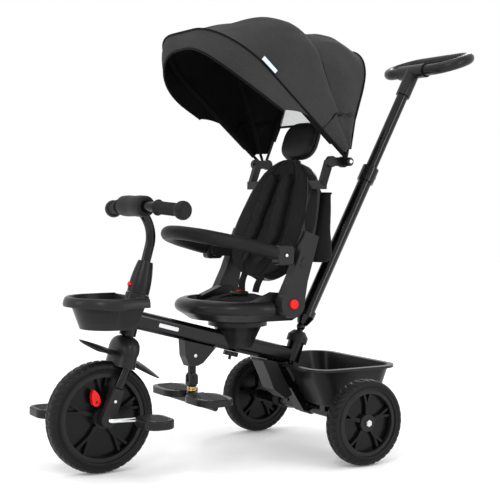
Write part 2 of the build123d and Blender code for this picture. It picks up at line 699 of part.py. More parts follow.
# ---------------------------------------------------------------- front tray
TRAY_FLOOR_Z = 321.0
TRAY_T = 2.5
CLIP_H = 22.0               # clip round the head tube
tray_y = STEER.origin.Y - 4
tray_back = tray_y + 62


def tray_outline(radius, back):
    """Round at the front, flat at the back."""
    with Locations((0, tray_y)):
        Circle(radius)
        Rectangle(2 * radius, back - tray_y, align=(Align.CENTER, Align.MIN))
    with Locations((0, back)):
        Rectangle(4 * radius, 2 * radius, align=(Align.CENTER, Align.MIN), mode=Mode.SUBTRACT)


with BuildPart() as front_tray:
    with BuildSketch(Plane.XY.offset(TRAY_FLOOR_Z)):
        tray_outline(TRAY_R - 26, tray_back - 16)
    with BuildSketch(Plane.XY.offset(TRAY_RIM_Z)):
        tray_outline(TRAY_R, tray_back)
    loft()
    with BuildSketch(Plane.XY.offset(TRAY_RIM_Z - 16)):
        tray_outline(TRAY_R + 3, tray_back)
    extrude(amount=16)
    with BuildSketch(Plane.XY.offset(TRAY_FLOOR_Z + TRAY_T)):
        tray_outline(TRAY_R - 26 - TRAY_T, tray_back - 16 - TRAY_T)
    with BuildSketch(Plane.XY.offset(TRAY_RIM_Z + 0.1)):
        tray_outline(TRAY_R - TRAY_T, tray_back - TRAY_T)
    loft(mode=Mode.SUBTRACT)
    with BuildSketch(STEER.offset(HEAD_TOP - CLIP_H - 1)):
        Circle(HEAD_TUBE_R + 8)
    extrude(amount=CLIP_H)
    with BuildSketch(STEER.offset(HEAD_TOP - 1)):
        Circle(HEAD_TUBE_R + 8)
    extrude(amount=200, mode=Mode.SUBTRACT)
    with BuildSketch(STEER.offset(HEAD_TOP - CLIP_H - 41)):
        Circle(HEAD_TUBE_R + 8)
    extrude(amount=40, mode=Mode.SUBTRACT)
    with BuildSketch(STEER.offset(HEAD_BOTTOM - 20)):
        Circle(HEAD_TUBE_R + SEAT_FIT)
    extrude(amount=200, mode=Mode.SUBTRACT)
finish(front_tray, "front_tray")
# ---------------------------------------------------------------- footrest
bracket_front = ahead(FOOTREST_AHEAD + 28)
bracket_rear = ahead(FOOTREST_AHEAD - 56)
foot_y = ahead(FOOTREST_AHEAD)
FOOT_PIVOT_Z = 197.0
FOOT_PIN_R = 3.0
BRACKET_BOTTOM = 224.0
with BuildPart() as foot_bracket:
    with BuildSketch(side_plane(-15)):
        with BuildLine():
            Polyline(
                (bracket_front, tube_z(bracket_front) - half_tube),
                (bracket_rear, tube_z(bracket_rear) - half_tube),
                (foot_y + 22, BRACKET_BOTTOM + 6),
                (foot_y + 8, BRACKET_BOTTOM),
                (foot_y - 14, BRACKET_BOTTOM),
                (bracket_front + 3, BRACKET_BOTTOM + 24),
                close=True,
            )
        make_face()
    extrude(amount=30)
    with BuildSketch(side_plane(-5)):
        with Locations((foot_y, FOOT_PIVOT_Z)):
            Circle(9)
            Rectangle(16, BRACKET_BOTTOM - FOOT_PIVOT_Z + 4, align=(Align.CENTER, Align.MIN))
    extrude(amount=10)
    with BuildSketch(side_plane(-13)):
        with Locations((foot_y, FOOT_PIVOT_Z)):
            Circle(FOOT_PIN_R)
    extrude(amount=26)
finish(foot_bracket, "foot_bracket")
with BuildPart() as foot_stem:
    for x in (-10.5, 5.4):
        with BuildSketch(side_plane(x)):
            with Locations((foot_y, FOOT_PIVOT_Z)):
                Circle(11)
                Rectangle(22, 16, align=(Align.CENTER, Align.MAX))
        extrude(amount=5.1)
    with BuildSketch(Plane.XY.offset(FOOT_PIVOT_Z - 20)):
        with Locations((0, foot_y)):
            RectangleRounded(21, 21, 6)
    extrude(amount=9)
    with BuildSketch(Plane.XY.offset(FOOTREST_Z - 8)):
        with Locations((0, foot_y)):
            Circle(8)
    extrude(amount=FOOT_PIVOT_Z - 19 - FOOTREST_Z + 8)
    with BuildSketch(side_plane(-20)):
        with Locations((foot_y, FOOT_PIVOT_Z)):
            Circle(FOOT_PIN_R + RUN)
    extrude(amount=40, mode=Mode.SUBTRACT)
finish(foot_stem, "foot_stem")
FOOT_BAR_R = 7.0
with BuildPart() as foot_spring:
    for level in (0, 3.4, 6.8):
        with Locations((0, foot_y, FOOTREST_Z + 11 + level)):
            Torus(9.8, 1.6)
finish(foot_spring, "foot_spring")
with BuildPart() as footrest:
    for side in (1, -1):
        with BuildSketch(Plane.XY.offset(FOOTREST_Z - 8)):
            with Locations((side * FOOT_PAD_OUT, foot_y)):
                RectangleRounded(FOOT_PAD_SIZE[0], FOOT_PAD_SIZE[1], FOOT_PAD_SIZE[1] * 0.44)
        extrude(amount=FOOT_PAD_SIZE[2])
    fillet(footrest.faces().sort_by(Axis.Z)[-1].edges(), 4)
    with BuildSketch(side_plane(-FOOT_PAD_OUT - 30)):
        with Locations((foot_y, FOOTREST_Z - 8 - FOOT_BAR_R)):
            Circle(FOOT_BAR_R)
            Rectangle(2 * FOOT_BAR_R, FOOT_BAR_R + 1, align=(Align.CENTER, Align.MIN))
    extrude(amount=2 * FOOT_PAD_OUT + 60)
    with BuildSketch(Plane.XY.offset(FOOTREST_Z - 8 - FOOT_BAR_R)):
        with Locations((0, foot_y)):
            Circle(13)
    extrude(amount=FOOT_BAR_R + 14)
    with BuildSketch(Plane.XY.offset(FOOTREST_Z - 8)):
        with Locations((0, foot_y)):
            Circle(8 + SEAT_FIT)
    extrude(amount=60, mode=Mode.SUBTRACT)
finish(footrest, "footrest")

# ---------------------------------------------------------------- seat pedestal
FLANGE_R = 70.0
PIN_R = 9.0
pedestal_bottom = tube_z(SEAT_Y) - half_tube + 14
with BuildPart() as pedestal:
    with BuildSketch(Plane.XY.offset(pedestal_bottom)):
        with Locations((0, SEAT_Y)):
            Circle(34)
    with BuildSketch(Plane.XY.offset(SWIVEL_Z - 10)):
        with Locations((0, SEAT_Y)):
            Circle(58)
    loft()
    with BuildSketch(Plane.XY.offset(SWIVEL_Z - 10)):
        with Locations((0, SEAT_Y)):
            Circle(FLANGE_R)
    extrude(amount=10)
    with BuildSketch(TUBE):
        RectangleRounded(TUBE_W, TUBE_H, 12)
    extrude(amount=tube_length, mode=Mode.SUBTRACT)
    with BuildSketch(Plane.XY.offset(SWIVEL_Z - 24)):
        with Locations((0, SEAT_Y)):
            Circle(PIN_R + RUN)
    extrude(amount=30, mode=Mode.SUBTRACT)
finish(pedestal, "seat_pedestal")

knob_along = (ahead(217) - tube_front.Y) / cos(radians(tube_slope))
KNOB_FACE = Plane(
    origin=tube_front + TUBE.z_dir * knob_along - TUBE.y_dir * 0,
    x_dir=(1, 0, 0),
    z_dir=(0, -sin(radians(tube_slope)), -cos(radians(tube_slope))),
)
with BuildPart() as clamp_knob:
    with BuildSketch(KNOB_FACE.offset(TUBE_H / 2 + GAP)):
        Circle(15)
        with PolarLocations(13, 5):
            Circle(5.5)
    extrude(amount=11)
    with BuildSketch(KNOB_FACE.offset(TUBE_H / 2 + GAP + 11)):
        Circle(3.5)
    extrude(amount=9)
finish(clamp_knob, "seat_clamp_knob")

# ---------------------------------------------------------------- seat
PAN_EDGE_Z = 344.0
PAN_RIM_Z = 378.0
EAR_OUT = ARM_OUT - ARM_W - 1.5
EAR_IN = EAR_OUT - 24
pan_rear = ahead(HINGE_AHEAD - 36)
HINGE_PIN_R = 6.0
BUTTON_POCKET = 8.0         # recess for each recline button
RECLINE_BUTTON_R = 11.0
hinge_y = ahead(HINGE_AHEAD)


def pan_outline(radius, inset):
    """Round front, straight sides back to the hinge."""
    with Locations((0, SEAT_Y)):
        Circle(radius)
        Rectangle(2 * radius, pan_rear - SEAT_Y - inset, align=(Align.CENTER, Align.MIN))
    with Locations((0, pan_rear - inset)):
        Rectangle(4 * radius, 2 * radius, align=(Align.CENTER, Align.MIN), mode=Mode.SUBTRACT)


pan_base_z = SWIVEL_Z + GAP + 7
PAN_LIP_ROUND = 26.0        # how far the rounded lip draws in at its top
PAN_LIP_H = (PAN_RIM_Z - PAN_EDGE_Z) / (sin(radians(75)) + sin(radians(60)))
pan_lip_z = PAN_EDGE_Z + PAN_LIP_H * sin(radians(60))
with BuildPart() as seat_pan:
    with BuildSketch(Plane.XY.offset(pan_base_z)):
        pan_outline(PAN_R - 34, 8)
    with BuildSketch(Plane.XY.offset(PAN_EDGE_Z)):
        pan_outline(PAN_R - PAN_LIP_ROUND * (1 - cos(radians(60))), 0)
    loft()
    for angle in range(-60, 76, 27):
        with BuildSketch(Plane.XY.offset(pan_lip_z + PAN_LIP_H * sin(radians(angle)))):
            pan_outline(PAN_R - PAN_LIP_ROUND * (1 - cos(radians(angle))), 0)
    loft()
    with BuildSketch(Plane.XY.offset(PAN_EDGE_Z + 4)):
        pan_outline(PAN_R - 34, 12)
    with BuildSketch(Plane.XY.offset(PAN_RIM_Z + 0.1)):
        pan_outline(PAN_R - 29, 12)
    loft(mode=Mode.SUBTRACT)
    for side in (1, -1):
        with BuildSketch(Plane(origin=(side * EAR_IN, 0, 0), x_dir=(0, 1, 0), z_dir=(1, 0, 0))):
            with BuildLine():
                Polyline(
                    (hinge_y - 110, PAN_RIM_Z - 12),
                    (hinge_y - 30, PAN_RIM_Z + 20),
                    (hinge_y + 20, PAN_RIM_Z + 16),
                    (hinge_y + 34, HINGE_Z),
                    (hinge_y + 24, PAN_EDGE_Z + 2),
                    (hinge_y - 110, PAN_EDGE_Z + 2),
                    close=True,
                )
            make_face()
        extrude(amount=side * (EAR_OUT - EAR_IN))
        with BuildSketch(side_plane(side * (EAR_OUT + 0.0))):
            with Locations((hinge_y + 60 - 41 - 60, PAN_RIM_Z)):
                Rectangle(200, 120, align=(Align.MIN, Align.CENTER))
        extrude(amount=side * 60, mode=Mode.SUBTRACT)
        with BuildSketch(side_plane(side * (EAR_IN + 2))):
            with Locations((hinge_y, HINGE_Z)):
                Circle(HINGE_PIN_R)
        extrude(amount=side * (ARM_OUT - BUTTON_POCKET - 1 - EAR_IN - 2))
    with BuildSketch(Plane.XY.offset(SWIVEL_Z + GAP)):
        with Locations((0, SEAT_Y)):
            Circle(66)
    extrude(amount=8)
    with BuildSketch(Plane.XY.offset(SWIVEL_Z - 22)):
        with Locations((0, SEAT_Y)):
            Circle(PIN_R)
    extrude(amount=24)
finish(seat_pan, "seat_pan")

CUSHION_R = EAR_IN - 2.5
with BuildPart() as seat_cushion:
    with BuildSketch(Plane.XY.offset(PAN_EDGE_Z + 4.3)):
        pan_outline(CUSHION_R, 18)
    extrude(amount=26)
    fillet(seat_cushion.faces().sort_by(Axis.Z)[-1].edges(), 8)
finish(seat_cushion, "seat_cushion")

# ---------------------------------------------------------------- backrest
SHELL_BACK = -10.0          # offsets from the hinge plane, forwards
SHELL_FRONT = 26.0
SHELL_T = 4.0
SHELL_BOTTOM = 48.0
SHELL_HALF = 150.0
SHELL_WALL = 5.0            # rim of the shell round the liner


def back_outline(inset):
    """Egg-shaped outline of the backrest, drawn inwards by inset."""
    half = SHELL_HALF - inset
    top_z = BACK_TOP - inset
    low_z = SHELL_BOTTOM + inset
    with BuildLine() as outline:
        crown_arc = ThreePointArc((-half * 0.66, top_z - 46), (0, top_z), (half * 0.66, top_z - 46))
        right = Spline(
            crown_arc @ 1,
            (half * 0.9, top_z - 120),
            (half, 156),
            tangents=[(0.75, -0.66), (0.05, -1)],
        )
        low = ThreePointArc(right @ 1, (0, low_z), (-half, 156))
        Spline(
            low @ 1,
            (-half * 0.9, top_z - 120),
            crown_arc @ 0,
            tangents=[(0.05, 1), (0.75, 0.66)],
        )
    make_face(outline.edges())


with BuildPart() as back_shell:
    with BuildSketch(BACK.offset(SHELL_BACK)):
        back_outline(0)
    extrude(amount=SHELL_FRONT - SHELL_BACK)
    with BuildSketch(BACK.offset(SHELL_BACK + SHELL_T)):
        back_outline(SHELL_WALL)
    extrude(amount=60, mode=Mode.SUBTRACT)
    with BuildSketch(BACK.offset(2)):
        with Locations((0, BACK_TOP - 2)):
            Rectangle(36, 12)
    extrude(amount=8)
finish(back_shell, "back_shell")

ARM_TOP = 168.0
LUG_OUT = 145.0             # guard ring lugs stand on the arms' inner halves
GUARD_PIN_R = 4.0
CLAMP_OUT = 171.0
GUARD_BUTTON_AT = (98.0, 6.0)
GUARD_BUTTON_SIZE = (24.0, 13.0)
arm_in = ARM_OUT - ARM_W
guard_z = GUARD_PIVOT[1]
lug_plane = Plane(origin=(0, GUARD_Y, guard_z), x_dir=(0, 1, 0), z_dir=(1, 0, 0))
with BuildPart() as back_arms:
    for side in (1, -1):
        with BuildSketch(BACK_SIDE.offset(side * arm_in)):
            Circle(32)
            with BuildLine():
                Polyline(
                    (-4, -31.8), (60, -20), (ARM_TOP, -14), (ARM_TOP, 22), (60, 24), (-4, 31.8), close=True
                )
            make_face()
        extrude(amount=side * ARM_W)
        with BuildSketch(lug_plane.offset(side * arm_in)):
            Circle(16)
            Rectangle(60, 30, align=(Align.MIN, Align.CENTER))
        extrude(amount=side * (LUG_OUT - arm_in))
        with BuildSketch(lug_plane.offset(side * arm_in)):
            Circle(GUARD_PIN_R)
        extrude(amount=side * (CLAMP_OUT + 1 - arm_in))
        with BuildSketch(side_plane(side * (arm_in - 2))):
            with Locations((hinge_y, HINGE_Z)):
                Circle(HINGE_PIN_R + RUN)
        extrude(amount=side * (ARM_W + 4), mode=Mode.SUBTRACT)
        with BuildSketch(side_plane(side * (ARM_OUT - BUTTON_POCKET))):
            with Locations((hinge_y, HINGE_Z)):
                Circle(RECLINE_BUTTON_R + GAP)
        extrude(amount=side * 20, mode=Mode.SUBTRACT)
        with BuildSketch(BACK_SIDE.offset(side * (ARM_OUT - 7))):
            with Locations(GUARD_BUTTON_AT):
                SlotOverall(GUARD_BUTTON_SIZE[0] + 2 * GAP, GUARD_BUTTON_SIZE[1] + 2 * GAP)
        extrude(amount=side * 20, mode=Mode.SUBTRACT)
    with BuildSketch(BACK.offset(SHELL_BACK)):
        back_outline(0)
    extrude(amount=SHELL_FRONT - SHELL_BACK, mode=Mode.SUBTRACT)
    with BuildSketch(BACK.offset(SHELL_BACK + SHELL_T)):
        back_outline(12)
    extrude(amount=90, mode=Mode.SUBTRACT)
finish(back_arms, "back_arms")
for side, hand in ((1, "left"), (-1, "right")):
    with BuildPart() as recline_button:
        with BuildSketch(side_plane(side * (ARM_OUT - BUTTON_POCKET + 4))):
            with Locations((hinge_y, HINGE_Z)):
                Circle(RECLINE_BUTTON_R)
        extrude(amount=side * 10)
        outer = recline_button.faces().sort_by(Axis.X)[-1 if side > 0 else 0]
        fillet(outer.edges(), 2.5)
    finish(recline_button, f"recline_button_{hand}")
    with BuildPart() as guard_button:
        with BuildSketch(BACK_SIDE.offset(side * (ARM_OUT - 4))):
            with Locations(GUARD_BUTTON_AT):
                SlotOverall(*GUARD_BUTTON_SIZE)
        extrude(amount=side * 5.5)
    finish(guard_button, f"guard_button_{hand}")

LINER_T = 27.0
LINER_GAP = 3.0             # between the liner's edge and the shell's wall
with BuildPart() as back_liner:
    with BuildSketch(BACK.offset(SHELL_BACK + SHELL_T + 0.3)):
        back_outline(SHELL_WALL + LINER_GAP)
    extrude(amount=LINER_T)
finish(back_liner, "back_liner")

HEAD_W = 135.0
HEAD_H = 98.0
HEAD_D = 42.0
HEAD_V = BACK_TOP + 4.5 + HEAD_H / 2
with BuildPart() as headrest:
    with BuildSketch(BACK.offset(8 - HEAD_D / 2)):
        with Locations((0, HEAD_V)):
            RectangleRounded(HEAD_W, HEAD_H, 44)
    extrude(amount=HEAD_D)
    fillet(headrest.edges().filter_by(Plane(BACK.origin, x_dir=(1, 0, 0), z_dir=BACK.z_dir)), 12)
finish(headrest, "headrest")

# ---------------------------------------------------------------- guard ring
GUARD_STRAIGHT = 38.0       # pivot to the start of the round part
GUARD_X = (LUG_OUT + GAP + CLAMP_OUT) / 2
CLAMP_HALF = 22.0
with BuildPart() as guard_ring:
    with BuildLine(GUARD) as guard_path:
        first = Line((GUARD_X, -CLAMP_HALF + 4), (GUARD_X, -GUARD_STRAIGHT))
        bow_arc = ThreePointArc(first @ 1, (0, -GUARD_STRAIGHT - GUARD_X), (-GUARD_X, -GUARD_STRAIGHT))
        Line(bow_arc @ 1, (-GUARD_X, -CLAMP_HALF + 4))
    with BuildSketch(Plane(origin=guard_path.line @ 0, z_dir=guard_path.line % 0)):
        Circle(GUARD_FOAM_R)
    sweep(path=guard_path.line)
    with BuildSketch(side_plane(-LUG_OUT - GAP)):
        with Locations((GUARD_Y, guard_z)):
            Circle(60)
    extrude(amount=2 * (LUG_OUT + GAP), mode=Mode.SUBTRACT)
    for side in (1, -1):
        with BuildSketch(lug_plane.offset(side * (LUG_OUT + GAP))):
            RectangleRounded(2 * CLAMP_HALF, 2 * CLAMP_HALF, 8)
        extrude(amount=side * (CLAMP_OUT - LUG_OUT - GAP))
    with BuildSketch(lug_plane.offset(-CLAMP_OUT - 5)):
        Circle(GUARD_PIN_R + RUN)
    extrude(amount=2 * CLAMP_OUT + 10, mode=Mode.SUBTRACT)
finish(guard_ring, "guard_ring")

# ---------------------------------------------------------------- canopy
BOW_R = 3.5
BOW_SPACING = 7.6
FIRST_BOW_X = 171.0         # rear bow's eye, next to the bracket
FRONT_ANGLE = 49.5          # bow angles from upright, forwards
MID_ANGLE = 20.0
REAR_ANGLE = -17.0
KNEE = 110.0                # where a bow's legs turn upright, from the pivot
CANOPY_PIN_R = 4.0
BRACKET_IN = 156.0
BRACKET_OUT = 167.0


def canopy_plane(angle):
    """Plane of a bow: sketch coordinates are (X, distance from the pivot axis)."""
    lean = radians(angle)
    return Plane(origin=(0, CANOPY_Y, CANOPY_Z), x_dir=(1, 0, 0), z_dir=(0, -cos(lean), -sin(lean)))


def make_bow(angle, eye_x, half_width, reach, corner):
    """Hoop of round rod with a flat eye at each end."""
    plane = canopy_plane(angle)
    with BuildPart() as bow:
        with BuildLine(plane):
            hoop = FilletPolyline(
                (eye_x, 10),
                (half_width, KNEE),
                (half_width, reach),
                (-half_width, reach),
                (-half_width, KNEE),
                (-eye_x, 10),
                radius=[50, corner, corner, 50],
            )
        with BuildSketch(Plane(origin=hoop @ 0, z_dir=hoop % 0)):
            Circle(BOW_R)
        sweep(path=hoop)
        for side in (1, -1):
            with BuildSketch(side_plane(side * eye_x - BOW_R)):
                with Locations((CANOPY_Y, CANOPY_Z)):
                    Circle(10)
            extrude(amount=2 * BOW_R)
        with BuildSketch(side_plane(-eye_x - 10)):
            with Locations((CANOPY_Y, CANOPY_Z)):
                Circle(CANOPY_PIN_R + RUN)
        extrude(amount=2 * eye_x + 20, mode=Mode.SUBTRACT)
    return bow.part


MID_BOW_X = FIRST_BOW_X + BOW_SPACING
FRONT_BOW_X = FIRST_BOW_X + 2 * BOW_SPACING
REAR_BOW = (REAR_ANGLE, FIRST_BOW_X, 157, 275, 92)
MID_BOW = (MID_ANGLE, MID_BOW_X, 178, 313, 88)
FRONT_BOW = (FRONT_ANGLE, FRONT_BOW_X, 186, 438, 135)
with BuildPart() as canopy_mid_bow:
    add(make_bow(*MID_BOW))
finish(canopy_mid_bow, "canopy_mid_bow")
with BuildPart() as canopy_front_bow:
    add(make_bow(*FRONT_BOW))
finish(canopy_front_bow, "canopy_front_bow")
with BuildPart() as canopy_frame:
    for side in (1, -1):
        with BuildSketch(side_plane(side * BRACKET_IN)):
            with Locations((CANOPY_Y, CANOPY_Z), (CANOPY_Y - 34, CANOPY_Z)):
                Circle(13)
            with Locations((CANOPY_Y - 17, CANOPY_Z)):
                Rectangle(34, 20)
        extrude(amount=side * (BRACKET_OUT - BRACKET_IN))
        with BuildSketch(side_plane(side * (BRACKET_IN - 10))):
            with BuildLine():
                Polyline(
                    (CANOPY_Y - 60, CANOPY_Z - 52),
                    (CANOPY_Y - 44, CANOPY_Z - 56),
                    (CANOPY_Y - 26, CANOPY_Z - 4),
                    (CANOPY_Y - 42, CANOPY_Z + 4),
                    close=True,
                )
            make_face()
        extrude(amount=side * 14)
        with BuildSketch(side_plane(side * 96)):
            with Locations((CANOPY_Y - 52, CANOPY_Z - 54)):
                Rectangle(20, 20)
        extrude(amount=side * (BRACKET_IN - 96 + 2))
    with BuildSketch(BACK.offset(SHELL_BACK)):
        back_outline(0)
    extrude(amount=SHELL_FRONT - SHELL_BACK, mode=Mode.SUBTRACT)
    with BuildSketch(BACK.offset(SHELL_BACK + SHELL_T)):
        back_outline(12)
    extrude(amount=90, mode=Mode.SUBTRACT)
    for side in (1, -1):
        with BuildSketch(side_plane(side * BRACKET_IN)):
            with Locations((CANOPY_Y, CANOPY_Z)):
                Circle(CANOPY_PIN_R)
        extrude(amount=side * (FRONT_BOW_X + BOW_R + 1 - BRACKET_IN))
        with BuildSketch(side_plane(side * BRACKET_IN)):
            with Locations((CANOPY_Y, CANOPY_Z)):
                Circle(10)
        extrude(amount=side * (FIRST_BOW_X + BOW_R - BRACKET_IN))
    add(make_bow(*REAR_BOW))
    with BuildSketch(side_plane(-FIRST_BOW_X - BOW_R)):
        with Locations((CANOPY_Y, CANOPY_Z)):
            Circle(CANOPY_PIN_R + 0.5)
    extrude(amount=FIRST_BOW_X + BOW_R - BRACKET_IN)
    with BuildSketch(side_plane(BRACKET_IN)):
        with Locations((CANOPY_Y, CANOPY_Z)):
            Circle(CANOPY_PIN_R + 0.5)
    extrude(amount=FIRST_BOW_X + BOW_R - BRACKET_IN)
finish(canopy_frame, "canopy_frame")

CLOTH_T = 2.0
CLOTH_GAP = 1.0
CLOTH_FOOT = 46.0           # cloth starts this far from the pivot
cloth_out = BOW_R + CLOTH_GAP + CLOTH_T


def hood_section(angle, foot_half, half_width, reach, corner):
    """One U of cloth in a bow's plane, spreading to foot_half at its feet."""
    with BuildSketch(canopy_plane(angle)) as section:
        with BuildLine():
            outer = FilletPolyline(
                (foot_half, CLOTH_FOOT),
                (half_width, KNEE),
                (half_width, reach),
                (-half_width, reach),
                (-half_width, KNEE),
                (-foot_half, CLOTH_FOOT),
                radius=[50, corner, corner, 50],
            )
            inner = FilletPolyline(
                (-foot_half + CLOTH_T, CLOTH_FOOT),
                (-half_width + CLOTH_T, KNEE),
                (-half_width + CLOTH_T, reach - CLOTH_T),
                (half_width - CLOTH_T, reach - CLOTH_T),
                (half_width - CLOTH_T, KNEE),
                (foot_half - CLOTH_T, CLOTH_FOOT),
                radius=[50, corner - CLOTH_T, corner - CLOTH_T, 50],
            )
            Line(outer @ 1, inner @ 0)
            Line(inner @ 1, outer @ 0)
        make_face()
    return section.sketch.faces()[0]


def visor_section(angle, half_width, reach, corner, start):
    """One U of the visor in a plane through the pivot axis."""
    with BuildSketch(canopy_plane(angle)) as section:
        with BuildLine():
            outer = FilletPolyline(
                (half_width, start),
                (half_width, reach),
                (-half_width, reach),
                (-half_width, start),
                radius=corner,
            )
            inner = FilletPolyline(
                (-half_width + CLOTH_T, start),
                (-half_width + CLOTH_T, reach - CLOTH_T),
                (half_width - CLOTH_T, reach - CLOTH_T),
                (half_width - CLOTH_T, start),
                radius=corner - CLOTH_T,
            )
            Line(outer @ 1, inner @ 0)
            Line(inner @ 1, outer @ 0)
        make_face()
    return section.sketch.faces()[0]


def cloth_over(bow, eye_x):
    """Foot half-width, half-width, reach and corner of the cloth lying over a bow."""
    return (eye_x + cloth_out, bow[2] + cloth_out, bow[3] + cloth_out, bow[4] + cloth_out)


def cloth_between(first, second, puff):
    """The same four sizes halfway between two bows, blown out by puff."""
    middle = [(a + b) / 2 for a, b in zip(first, second)]
    middle[2] += puff
    return middle


front_cloth = cloth_over(FRONT_BOW, FRONT_BOW_X)
mid_cloth = cloth_over(MID_BOW, MID_BOW_X)
rear_cloth = cloth_over(REAR_BOW, FIRST_BOW_X)
VISOR_ANGLE = 59.5
VISOR_HALF = 186.0
VISOR_REACH = 424.0
VISOR_CORNER = 150.0
with BuildPart() as canopy_visor:
    loft([
        visor_section(FRONT_ANGLE + 0.2, *front_cloth[1:], start=150),
        visor_section(VISOR_ANGLE, VISOR_HALF, VISOR_REACH, VISOR_CORNER, start=225),
    ])
finish(canopy_visor, "canopy_visor")
with BuildPart() as canopy_mid_panel:
    loft([
        hood_section(FRONT_ANGLE - 0.2, *front_cloth),
        hood_section((FRONT_ANGLE + MID_ANGLE) / 2, *cloth_between(front_cloth, mid_cloth, 4)),
        hood_section(MID_ANGLE + 0.3, *mid_cloth),
    ])
finish(canopy_mid_panel, "canopy_mid_panel")
WINDOW_HEM = 101.0
window_half = REAR_BOW[2] - BOW_R - 1.5
window_top = REAR_BOW[3] - BOW_R - 1.5
with BuildPart() as canopy_rear_panel:
    loft([
        hood_section(MID_ANGLE - 0.3, *mid_cloth),
        hood_section((MID_ANGLE + REAR_ANGLE) / 2, *cloth_between(mid_cloth, rear_cloth, 8)),
        hood_section(REAR_ANGLE, *rear_cloth),
    ])
    with BuildSketch(canopy_plane(REAR_ANGLE).offset(-1)):
        with BuildLine():
            sash = FilletPolyline(
                (window_half, WINDOW_HEM),
                (window_half, window_top),
                (-window_half, window_top),
                (-window_half, WINDOW_HEM),
                radius=REAR_BOW[4] - BOW_R - 1.5,
            )
            Line(sash @ 1, sash @ 0)
        make_face()
    extrude(amount=2)
finish(canopy_rear_panel, "canopy_rear_panel")

# ---------------------------------------------------------------- storage bag
BAG_HALF = 102.0
BAG_TOP_Z = 627.0
BAG_BOTTOM_Z = 463.0
with BuildPart() as bag:
    with BuildSketch(Plane.XY.offset(BAG_BOTTOM_Z)):
        with Locations((0, ahead(28))):
            RectangleRounded(2 * BAG_HALF, 92, 20)
    with BuildSketch(Plane.XY.offset(BAG_BOTTOM_Z + 40)):
        with Locations((0, ahead(27))):
            RectangleRounded(2 * BAG_HALF, 88, 20)
    with BuildSketch(Plane.XY.offset(BAG_TOP_Z)):
        with Locations((0, ahead(20))):
            RectangleRounded(2 * BAG_HALF, 40, 14)
    loft()
    with BuildSketch(Plane.XY.offset(BAG_BOTTOM_Z + 4)):
        with Locations((0, ahead(28))):
            RectangleRounded(2 * BAG_HALF - 8, 78, 16)
    with BuildSketch(Plane.XY.offset(BAG_TOP_Z + 0.1)):
        with Locations((0, ahead(20))):
            RectangleRounded(2 * BAG_HALF - 8, 32, 10)
    loft(mode=Mode.SUBTRACT)
finish(bag, "storage_bag")

# ---------------------------------------------------------------- push handle
COLLAR_FROM = 10.5
COLLAR_H = 40.0             # clamp collar at the top of the outer tube
COLLAR_R = 21.5
HEIGHT_BUTTON_AT = OUTER_TUBE_END - 18
with BuildPart() as handle_outer_tube:
    with BuildSketch(SOCKET.offset(-SOCKET_LENGTH - 6)):
        Circle(SPINDLE_R)
    extrude(amount=SOCKET_LENGTH + 6)
    with BuildSketch(SOCKET.offset(-SOCKET_LENGTH - 12)):
        with Locations((-8, 0)):
            Rectangle(30, 14)
    extrude(amount=7)
    with Locations(knuckle):
        Sphere(11)
    with BuildSketch(HANDLE.offset(6)) as collar_low:
        Circle(13)
    with BuildSketch(HANDLE.offset(28)) as collar_mid:
        Circle(22)
    loft([collar_low.sketch.faces()[0], collar_mid.sketch.faces()[0]])
    with BuildSketch(HANDLE.offset(28)):
        Circle(22)
    extrude(amount=16)
    with BuildSketch(HANDLE.offset(40)):
        Circle(OUTER_TUBE_R)
    extrude(amount=OUTER_TUBE_END - 40)
    with BuildSketch(HANDLE.offset(OUTER_TUBE_END - COLLAR_H)):
        Circle(COLLAR_R)
    extrude(amount=COLLAR_H)
    with BuildSketch(HANDLE.offset(44)):
        Circle(INNER_TUBE_R + RUN)
    extrude(amount=OUTER_TUBE_END, mode=Mode.SUBTRACT)
    with BuildSketch(Plane(origin=knuckle + HANDLE.z_dir * HEIGHT_BUTTON_AT, z_dir=HANDLE.y_dir)):
        Circle(5 + GAP)
    extrude(amount=30, mode=Mode.SUBTRACT)
finish(handle_outer_tube, "handle_outer_tube")
SLEEVE_FROM = RING_AT - 73.0
INNER_FROM = OUTER_TUBE_END - 150.0
with BuildPart() as handle_inner_tube:
    with BuildSketch(HANDLE.offset(INNER_FROM)):
        Circle(INNER_TUBE_R)
        Circle(INNER_TUBE_R - 2, mode=Mode.SUBTRACT)
    extrude(amount=RING_AT - 30 - INNER_FROM)
finish(handle_inner_tube, "handle_inner_tube")
with BuildPart() as height_button:
    with BuildSketch(Plane(origin=knuckle + HANDLE.z_dir * HEIGHT_BUTTON_AT + HANDLE.y_dir * 17, z_dir=HANDLE.y_dir)):
        Circle(5)
    extrude(amount=COLLAR_R + 2.5 - 17)
finish(height_button, "height_button")

with BuildPart() as push_ring:
    with BuildLine(RING) as ring_path:
        ring_corner = RING_DEPTH / 2
        half = RING_WIDTH / 2 - ring_corner
        front_bar = Line((-half, 0), (half, 0))
        right_arc = ThreePointArc((half, 0), (half + ring_corner, ring_corner), (half, RING_DEPTH))
        rear_bar = Line((half, RING_DEPTH), (-half, RING_DEPTH))
        ThreePointArc((-half, RING_DEPTH), (-half - ring_corner, ring_corner), (-half, 0))
    with BuildSketch(Plane(origin=front_bar @ 0, z_dir=front_bar % 0)):
        Circle(RING_BAR_R)
    sweep(path=ring_path.line)
    with BuildSketch(HANDLE.offset(SLEEVE_FROM)):
        Circle(18.5)
    extrude(amount=RING_AT - SLEEVE_FROM)
    with BuildSketch(Plane(origin=RING.origin - Vector(50, 0, 0), z_dir=(1, 0, 0))):
        Circle(RING_BAR_R + 4)
    extrude(amount=100)
    with BuildSketch(HANDLE.offset(SLEEVE_FROM - 5)):
        Circle(INNER_TUBE_R + SEAT_FIT)
    extrude(amount=RING_AT - 30 - SLEEVE_FROM + 5.2, mode=Mode.SUBTRACT)
finish(push_ring, "push_ring")
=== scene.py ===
"""Children's push tricycle: looks, soft goods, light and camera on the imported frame."""

import json
import math

